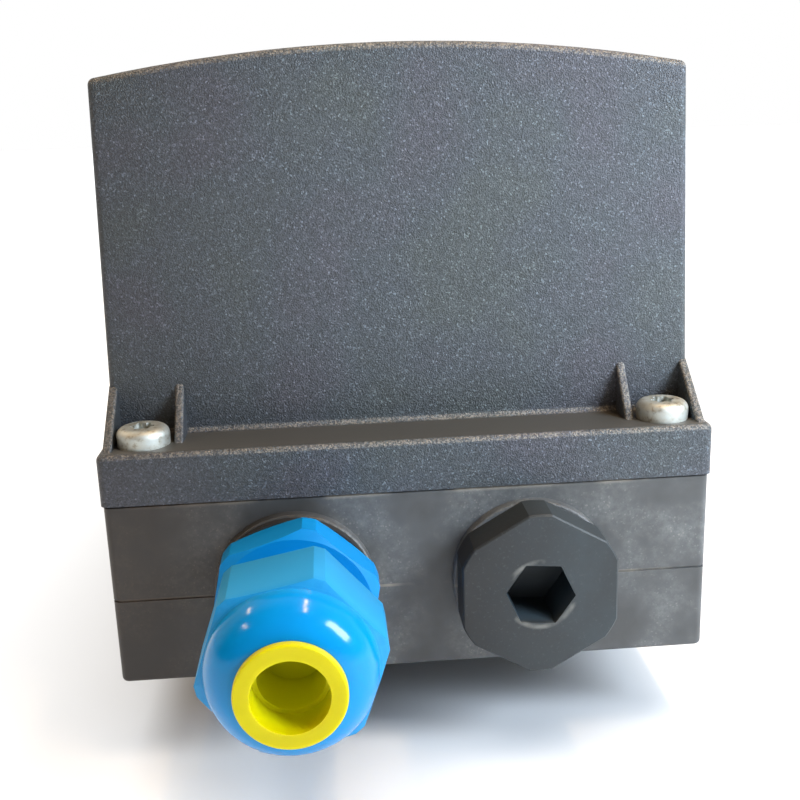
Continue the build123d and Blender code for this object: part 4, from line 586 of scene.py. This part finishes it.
dust_finish, tree, shader, place = start_finish(
    "yellow_polyethylene", "#f2e300", 0.34, IOR=1.51, Specular_IOR_Level=0.18, Subsurface_Weight=0.6,
    Subsurface_Scale=2.5 * MM)
shader.inputs["Subsurface Radius"].default_value = (0.95, 0.95, 0.15)
waxy = add_node(tree, "ShaderNodeTexNoise", {"Scale": 1 / WAX, "Detail": 3.0}, {"Vector": place})
rim_tone = add_node(tree, "ShaderNodeMix",
                    {"data_type": "RGBA", 6: hex_colour("#bcb200"), 7: hex_colour("#c8be00")},
                    {"Factor": waxy.outputs["Fac"]})
depth = add_node(tree, "ShaderNodeSeparateXYZ", links={"Vector": place})
in_the_cup = add_node(tree, "ShaderNodeMapRange",
                      {"From Min": CUP_DEEP[0], "From Max": CUP_DEEP[1], "To Max": 0.9},
                      {"Value": depth.outputs["Y"]})
wax_tone = add_node(tree, "ShaderNodeMix", {"data_type": "RGBA", 7: hex_colour("#dede0e")},
                    {"Factor": in_the_cup.outputs["Result"], 6: rim_tone.outputs[2]})
wax_gloss = add_node(tree, "ShaderNodeMapRange", {"To Min": 0.26, "To Max": 0.44},
                     {"Value": waxy.outputs["Fac"]})
tree.links.new(wax_tone.outputs[2], shader.inputs["Base Color"])
tree.links.new(wax_gloss.outputs["Result"], shader.inputs["Roughness"])
finishes["dust_yellow"] = dust_finish
print("the cup's mouth is at", round(CUP_MOUTH / MM, 1), "mm")

# %% [markdown]
# ## Blanking plug: black nylon
#
# The second entry is closed with a plug of glass-filled nylon. It is matt, and greyer than true black
# because of the fibres at its surface. Painted shade darkens the side next to the gland, and the far side is
# painted a lighter bluish grey where the light falls.

# %% Skin of the blanking plug
FIBRE = 0.45 * MM              # a fibre's length; its width of 0.01 mm is too fine to show and drawn as wide
FIBRE_DEPTH = 0.04 * MM
BLOTCH = 6 * MM                # size of the patches of slightly different black
PLUG_DARK = 6 * MM             # the plug's left side, in X
PLUG_LIGHT = 25 * MM           # and where it has reached its lightest

plug_finish, tree, shader, place = start_finish("black_glass_filled_nylon", "#303234", 0.52, IOR=1.53,
                                                Specular_IOR_Level=0.34)
fibres = add_node(tree, "ShaderNodeTexNoise", {"Scale": 1 / FIBRE, "Detail": 3.0}, {"Vector": place})
blotches = add_node(tree, "ShaderNodeTexNoise", {"Scale": 1 / BLOTCH, "Detail": 5.0}, {"Vector": place})
spot = add_node(tree, "ShaderNodeSeparateXYZ", links={"Vector": place})
away_from_gland = add_node(tree, "ShaderNodeMapRange", {"From Min": PLUG_DARK, "From Max": PLUG_LIGHT},
                           {"Value": spot.outputs["X"]})
# Painted shade and light: near black beside the gland, a lighter bluish grey on the far side.
shade_to_light_tone = add_node(tree, "ShaderNodeMix",
                      {"data_type": "RGBA", 6: hex_colour("#0e0e0e"), 7: hex_colour("#384247")},
                      {"Factor": away_from_gland.outputs["Result"]})
blotch_tone = add_node(tree, "ShaderNodeMix", {"data_type": "RGBA", 7: hex_colour("#2a2c2d")},
                       {"Factor": blotches.outputs["Fac"], 6: shade_to_light_tone.outputs[2]})
fibre_mask = add_node(tree, "ShaderNodeMapRange", {"From Min": 0.60, "From Max": 0.82, "To Max": 0.5},
                      {"Value": fibres.outputs["Fac"]})
fibre_tone = add_node(tree, "ShaderNodeMix", {"data_type": "RGBA", 7: hex_colour("#4c5052")},
                      {"Factor": fibre_mask.outputs["Result"], 6: blotch_tone.outputs[2]})
print("the plug goes from dark to light over", round((PLUG_LIGHT - PLUG_DARK) / MM), "mm")

# %% [markdown]
# ## Blanking plug: its socket
#
# The Allen key has left a broken ring of pale burr around its socket. The walls inside are painted a
# lighter bluish grey, as painted bounce light that keeps them from going fully black. The burr could be
# modelled, but it is a tenth of a millimetre high. The ring is drawn from the distance to the plug's axis:
# with Y flattened away, that is one distance node.

# %% Socket of the blanking plug
PLUG_AXIS = (18.75 * MM, 0, 15 * MM)
PLUG_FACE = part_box("blanking_plug")[0].y
BURR_RADIUS = 5.35 * MM                 # about where the socket's corners are
BURR_WIDTH = (0.15 * MM, 0.55 * MM)     # the burr fades out between these distances from its middle
SOCKET_REACH = 6.2 * MM                 # the socket's walls are all nearer to the axis than this
SUNK = (PLUG_FACE + 0.3 * MM, PLUG_FACE + 1.2 * MM)    # and their colour fades in between these

flattened = add_node(tree, "ShaderNodeVectorMath", {"operation": "MULTIPLY", 1: (1, 0, 1)}, {0: place})
from_axis = add_node(tree, "ShaderNodeVectorMath", {"operation": "DISTANCE", 1: PLUG_AXIS},
                     {0: flattened.outputs[0]})
off_the_burr = add_node(tree, "ShaderNodeMath", {"operation": "SUBTRACT", 1: BURR_RADIUS},
                        {0: from_axis.outputs["Value"]})
burr_distance = add_node(tree, "ShaderNodeMath", {"operation": "ABSOLUTE"}, {0: off_the_burr.outputs["Value"]})
burr = add_node(tree, "ShaderNodeMapRange",
                {"From Min": BURR_WIDTH[0], "From Max": BURR_WIDTH[1], "To Min": 1.0, "To Max": 0.0},
                {"Value": burr_distance.outputs["Value"]})
struck = add_node(tree, "ShaderNodeMapRange", {"From Min": 0.46, "From Max": 0.60, "To Max": 0.6},
                  {"Value": blotches.outputs["Fac"]})
burr_share = add_node(tree, "ShaderNodeMath", {"operation": "MULTIPLY"},
                      {0: burr.outputs["Result"], 1: struck.outputs["Result"]})
burred = add_node(tree, "ShaderNodeMix", {"data_type": "RGBA", 7: hex_colour("#7c7d78")},
                  {"Factor": burr_share.outputs["Value"], 6: fibre_tone.outputs[2]})
near_axis = add_node(tree, "ShaderNodeMath", {"operation": "LESS_THAN", 1: SOCKET_REACH},
                     {0: from_axis.outputs["Value"]})
sunk = add_node(tree, "ShaderNodeMapRange", {"From Min": SUNK[0], "From Max": SUNK[1]},
                {"Value": spot.outputs["Y"]})
# Painted light: the socket's walls are lifted to a bluish grey, standing in for light bouncing inside.
socket_light_share = add_node(tree, "ShaderNodeMath", {"operation": "MULTIPLY"},
                        {0: near_axis.outputs["Value"], 1: sunk.outputs["Result"]})
with_socket_light = add_node(tree, "ShaderNodeMix", {"data_type": "RGBA", 7: hex_colour("#303b42")},
                       {"Factor": socket_light_share.outputs["Value"], 6: burred.outputs[2]})
relief = add_node(tree, "ShaderNodeBump", {"Strength": 0.3, "Distance": FIBRE_DEPTH},
                  {"Height": fibres.outputs["Fac"]})
tree.links.new(with_socket_light.outputs[2], shader.inputs["Base Color"])
tree.links.new(relief.outputs["Normal"], shader.inputs["Normal"])
finishes["plug_black"] = plug_finish
print("the plug's face is at", round(PLUG_FACE / MM, 1), "mm")

# %% [markdown]
# ## Screws: zinc on steel
#
# Zinc plating is a pale bluish metal that goes cloudy and yellowish where it has been handled. A metal has
# no colour of its own but tints what it reflects, so the clouds go into its base colour and its roughness.

# %% Zinc finish
ZINC_CLOUD = 1.1 * MM
ZINC_DEPTH = 0.06 * MM
SCREW_HEAD = 8 * MM

zinc_finish, tree, shader, place = start_finish("zinc_plated_steel", "#c9cccb", 0.34, Metallic=1.0)
clouding = add_node(tree, "ShaderNodeTexNoise", {"Scale": 1 / ZINC_CLOUD, "Detail": 6.0, "Roughness": 0.65},
                    {"Vector": place})
zinc_tone = add_node(tree, "ShaderNodeValToRGB", links={"Fac": clouding.outputs["Fac"]})
zinc_tone.color_ramp.elements[0].position = 0.34
zinc_tone.color_ramp.elements[0].color = hex_colour("#9a978b")
zinc_tone.color_ramp.elements[1].position = 0.62
zinc_tone.color_ramp.elements[1].color = hex_colour("#c6ccc9")
zinc_tone.color_ramp.elements.new(0.46).color = hex_colour("#c0c3bc")
zinc_gloss = add_node(tree, "ShaderNodeMapRange", {"To Min": 0.44, "To Max": 0.74},
                      {"Value": clouding.outputs["Fac"]})
relief = add_node(tree, "ShaderNodeBump", {"Strength": 0.5, "Distance": ZINC_DEPTH},
                  {"Height": clouding.outputs["Fac"]})
tree.links.new(zinc_tone.outputs["Color"], shader.inputs["Base Color"])
tree.links.new(zinc_gloss.outputs["Result"], shader.inputs["Roughness"])
tree.links.new(relief.outputs["Normal"], shader.inputs["Normal"])
finishes["zinc_steel"] = zinc_finish
print("clouds across a screw head:", round(SCREW_HEAD / ZINC_CLOUD))

# %% [markdown]
# ## Turned, plated and drawn metals
#
# The brass, stainless, spring steel, die-cast aluminium and sintered bronze pieces differ in colour, in
# gloss and in the mark of how they were made. Turned, drawn and cast metal gets a fine noise of its own
# size and depth, and sintered bronze, which is made of small balls, gets cells. The pieces are small, so
# one function makes all five.

# %% Metal finishes


def metal_finish(name, dark, light, smooth, dull, mark, depth, kind="ShaderNodeTexNoise"):
    """A metal whose tone and gloss follow one pattern of a given size in millimetres, pressed in by a depth."""
    finish, tree, shader, place = start_finish(name, light, smooth, Metallic=1.0)
    pattern = add_node(tree, kind, {"Scale": 1 / (mark * MM)}, {"Vector": place})
    value = pattern.outputs["Distance" if kind == "ShaderNodeTexVoronoi" else "Fac"]
    tone = add_node(tree, "ShaderNodeMix", {"data_type": "RGBA", 6: hex_colour(dark), 7: hex_colour(light)},
                    {"Factor": value})
    gloss = add_node(tree, "ShaderNodeMapRange", {"To Min": smooth, "To Max": dull}, {"Value": value})
    relief = add_node(tree, "ShaderNodeBump", {"Strength": 0.3, "Distance": depth * MM}, {"Height": value})
    tree.links.new(tone.outputs[2], shader.inputs["Base Color"])
    tree.links.new(gloss.outputs["Result"], shader.inputs["Roughness"])
    tree.links.new(relief.outputs["Normal"], shader.inputs["Normal"])
    return finish


metals = {
    "brass": metal_finish("turned_brass", "#a8853f", "#d9b566", 0.20, 0.38, 0.5, 0.01),
    "stainless": metal_finish("drawn_stainless_steel", "#8f9092", "#c4c4c2", 0.22, 0.40, 0.6, 0.01),
    "spring_steel": metal_finish("blued_spring_steel", "#55565a", "#86878b", 0.25, 0.42, 0.8, 0.01),
    "aluminium": metal_finish("die_cast_aluminium", "#a3a5a7", "#cfd1d2", 0.38, 0.58, 0.7, 0.03),
    "sintered": metal_finish("sintered_bronze", "#5f4727", "#b8925a", 0.45, 0.70, 0.45, 0.10,
                             "ShaderNodeTexVoronoi"),
}
finishes.update(metals)
print("metals:", list(metals))

# %% [markdown]
# ## Rubber and moulded plastics
#
# The gaskets, keys and inner mouldings are plain injection mouldings. Even so none is one flat colour:
# rubber has a bloom of wax, acetal is milky, and every moulding shows some unevenness of tone and gloss.
# They share one recipe with their own colours, gloss and grain size.

# %% Rubber and plastic finishes


def moulded_finish(name, dark, light, smooth, dull, patch, grain, depth, **sockets):
    """A moulding: slow patches of tone and gloss, and a fine grain as bump. Sizes are in millimetres."""
    finish, tree, shader, place = start_finish(name, light, smooth, **sockets)
    patches = add_node(tree, "ShaderNodeTexNoise", {"Scale": 1 / (patch * MM), "Detail": 4.0},
                       {"Vector": place})
    grain_noise = add_node(tree, "ShaderNodeTexNoise", {"Scale": 1 / (grain * MM), "Detail": 2.0},
                           {"Vector": place})
    tone = add_node(tree, "ShaderNodeMix", {"data_type": "RGBA", 6: hex_colour(dark), 7: hex_colour(light)},
                    {"Factor": patches.outputs["Fac"]})
    gloss = add_node(tree, "ShaderNodeMapRange", {"To Min": smooth, "To Max": dull},
                     {"Value": patches.outputs["Fac"]})
    relief = add_node(tree, "ShaderNodeBump", {"Strength": 0.3, "Distance": depth * MM},
                      {"Height": grain_noise.outputs["Fac"]})
    tree.links.new(tone.outputs[2], shader.inputs["Base Color"])
    tree.links.new(gloss.outputs["Result"], shader.inputs["Roughness"])
    tree.links.new(relief.outputs["Normal"], shader.inputs["Normal"])
    return finish


mouldings = {
    "gasket_rubber": moulded_finish("nitrile_rubber", "#151515", "#2a2a2a", 0.55, 0.75, 4, 0.5, 0.03),
    "key_rubber": moulded_finish("silicone_keys", "#34373a", "#45494d", 0.50, 0.65, 3, 0.4, 0.03),
    "bearing_plastic": moulded_finish("natural_acetal", "#dcd7c9", "#efebe0", 0.32, 0.45, 6, 0.6, 0.01,
                                      Subsurface_Weight=0.2, Subsurface_Scale=1.0 * MM),
    "wheel_yellow": moulded_finish("yellow_acetal", "#d9b400", "#f0cc18", 0.28, 0.42, 5, 0.6, 0.01,
                                   Subsurface_Weight=0.15, Subsurface_Scale=1.0 * MM),
    "pot_plastic": moulded_finish("blue_diallyl_phthalate", "#14305a", "#1f4479", 0.30, 0.45, 5, 0.5, 0.01),
    "block_plastic": moulded_finish("black_glass_filled_plastic", "#202123", "#34363a", 0.45, 0.62, 5, 0.4,
                                    0.04),
    "carrier_plastic": moulded_finish("light_grey_abs", "#8d9193", "#a5a9ab", 0.42, 0.55, 9, 0.5, 0.02),
    "silencer_plastic": moulded_finish("sintered_polyethylene", "#8d8c86", "#b4b2ab", 0.75, 0.9, 0.5, 0.35,
                                       0.12),
    "terminal_green": moulded_finish("green_polyamide", "#0f6b3c", "#1c8a52", 0.35, 0.5, 5, 0.5, 0.02),
    "chip_black": moulded_finish("epoxy_moulding_compound", "#161616", "#262626", 0.5, 0.65, 3, 0.3, 0.02),
    "board_green": moulded_finish("green_solder_resist", "#0b4a26", "#126335", 0.22, 0.36, 7, 1.2, 0.02),
    "lcd_glass": moulded_finish("liquid_crystal_glass", "#8a937f", "#9aa38e", 0.08, 0.14, 12, 2.0, 0.005),
}
finishes.update(mouldings)
print("mouldings:", len(mouldings))

# %% [markdown]
# ## The window
#
# The display is read through a sheet of clear polycarbonate. Real transmission lets the display show
# through and still reflects the room. It has a little haze where it has been wiped.

# %% Window finish
WIPE = 7 * MM          # size of the wiped patches

window_finish, tree, shader, place = start_finish(
    "clear_polycarbonate", "#eef3f2", 0.04, IOR=1.58, Transmission_Weight=1.0)
wiped = add_node(tree, "ShaderNodeTexNoise", {"Scale": 1 / WIPE, "Detail": 4.0}, {"Vector": place})
haze = add_node(tree, "ShaderNodeMapRange", {"To Min": 0.02, "To Max": 0.10}, {"Value": wiped.outputs["Fac"]})
tree.links.new(haze.outputs["Result"], shader.inputs["Roughness"])
finishes["window_clear"] = window_finish
print("finishes so far:", len(finishes))

# %% [markdown]
# ## The gland's domed nut
#
# On the real nut a spanner's corners would be sharp, so the moulder takes each of the six corners off with
# a narrow flat. The measured solid has plain corners. The nut could be turned again from a profile and cut
# to a hexagon, but its dome, bore and thread are already right, so a copy of the solid is used: it is
# merged, turned to the place where the nut stood when it was photographed, and each corner is cut by a
# plane and closed again.
#
# A moulded edge is never sharp. A small bevel on the outer edges gives each of them its thin line of light.

# %% Cut the nut's corners
NUT_AXIS = Vector((-18.75 * MM, 0, 15 * MM))
NUT_TURN = math.radians(5)         # how far the nut stands turned on its thread
CORNER_ANGLES = range(11, 371, 60)
CORNER_LAND = 13.38 * MM           # from the axis to the flat on a corner
MERGE_DISTANCE = 0.002 * MM
ON_THE_PLANE = 0.0001 * MM         # corners of the mesh as near to a cut as this count as lying on it
NEARLY_FLAT = math.radians(0.4)    # faces that meet at less than this become one face

nut_shape = bmesh.new()
nut_shape.from_mesh(frame["nodes"]["gland_nut"].data)
bmesh.ops.remove_doubles(nut_shape, verts=nut_shape.verts, dist=MERGE_DISTANCE)
bmesh.ops.rotate(nut_shape, verts=nut_shape.verts, cent=NUT_AXIS, matrix=Matrix.Rotation(NUT_TURN, 3, "Y"))
for corner in CORNER_ANGLES:
    outward = Vector((math.cos(math.radians(corner)), 0, math.sin(math.radians(corner))))
    cut = bmesh.ops.bisect_plane(
        nut_shape, geom=nut_shape.verts[:] + nut_shape.edges[:] + nut_shape.faces[:], dist=ON_THE_PLANE,
        plane_co=NUT_AXIS + outward * CORNER_LAND, plane_no=outward, clear_outer=True)
    cut_edges = [piece for piece in cut["geom_cut"] if isinstance(piece, bmesh.types.BMEdge)]
    opening = [edge for edge in cut_edges if edge.is_boundary]
    bmesh.ops.contextual_create(nut_shape, geom=opening)
bmesh.ops.dissolve_limit(nut_shape, angle_limit=NEARLY_FLAT, verts=nut_shape.verts, edges=nut_shape.edges)
open_edges = sum(edge.is_boundary for edge in nut_shape.edges)
print("open edges on the nut:", open_edges, "faces:", len(nut_shape.faces))

# %% [markdown]
# ## Rounding the nut's edges
#
# Bevelling every edge would also round the thread and the bore, which nobody sees and which cost thousands
# of faces. So the edges are picked: those that turn enough to be seen as edges, and far enough from the
# axis.

# %% Round the outer edges
EDGE_ROUND = 0.16 * MM
EDGE_ANGLE = 12            # edges that turn by more than this many degrees are rounded
OUTER_EDGES = 11.0 * MM    # and only those at least this far from the axis, which leaves the bore alone
SMOOTH_ANGLE = 32          # shading runs smoothly over edges that turn by less


def sharp_edges(shape, degrees, axis, clear_of):
    """Edges that turn by more than an angle and lie at least a distance from an axis along Y."""
    found = []
    for edge in shape.edges:
        centre = (edge.verts[0].co + edge.verts[1].co) / 2 - axis
        if edge.calc_face_angle(0) > math.radians(degrees) and math.hypot(centre.x, centre.z) > clear_of:
            found.append(edge)
    return found


bmesh.ops.bevel(nut_shape, geom=sharp_edges(nut_shape, EDGE_ANGLE, NUT_AXIS, OUTER_EDGES), offset=EDGE_ROUND,
                offset_type="OFFSET", affect="EDGES", segments=2, profile=0.5, material=-1, clamp_overlap=True)
for face in nut_shape.faces:
    face.smooth = True
for edge in nut_shape.edges:
    edge.smooth = edge.calc_face_angle(0) < math.radians(SMOOTH_ANGLE)
nut_mesh = bpy.data.meshes.new("domed_nut")
nut_shape.to_mesh(nut_mesh)
nut_shape.free()
domed_nut = bpy.data.objects.new("domed_nut", nut_mesh)
bpy.context.scene.collection.objects.link(domed_nut)
nut_mesh.materials.append(finishes["gland_blue"])
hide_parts("gland_nut")
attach(domed_nut, "gland_nut")

# %% [markdown]
# ## Dress the pieces
#
# Each solid came in with a plain material named after the slot it was given in the CAD. The finishes made
# above carry the same slot names as keys, so dressing the whole object is one loop over its pieces.

# %% Give every piece its finish
for node in frame["nodes"].values():
    for index, plain in enumerate(node.data.materials):
        node.data.materials[index] = finishes[plain.name.split(".")[0]]
print("dressed", len(frame["nodes"]), "pieces in", len(finishes), "finishes")
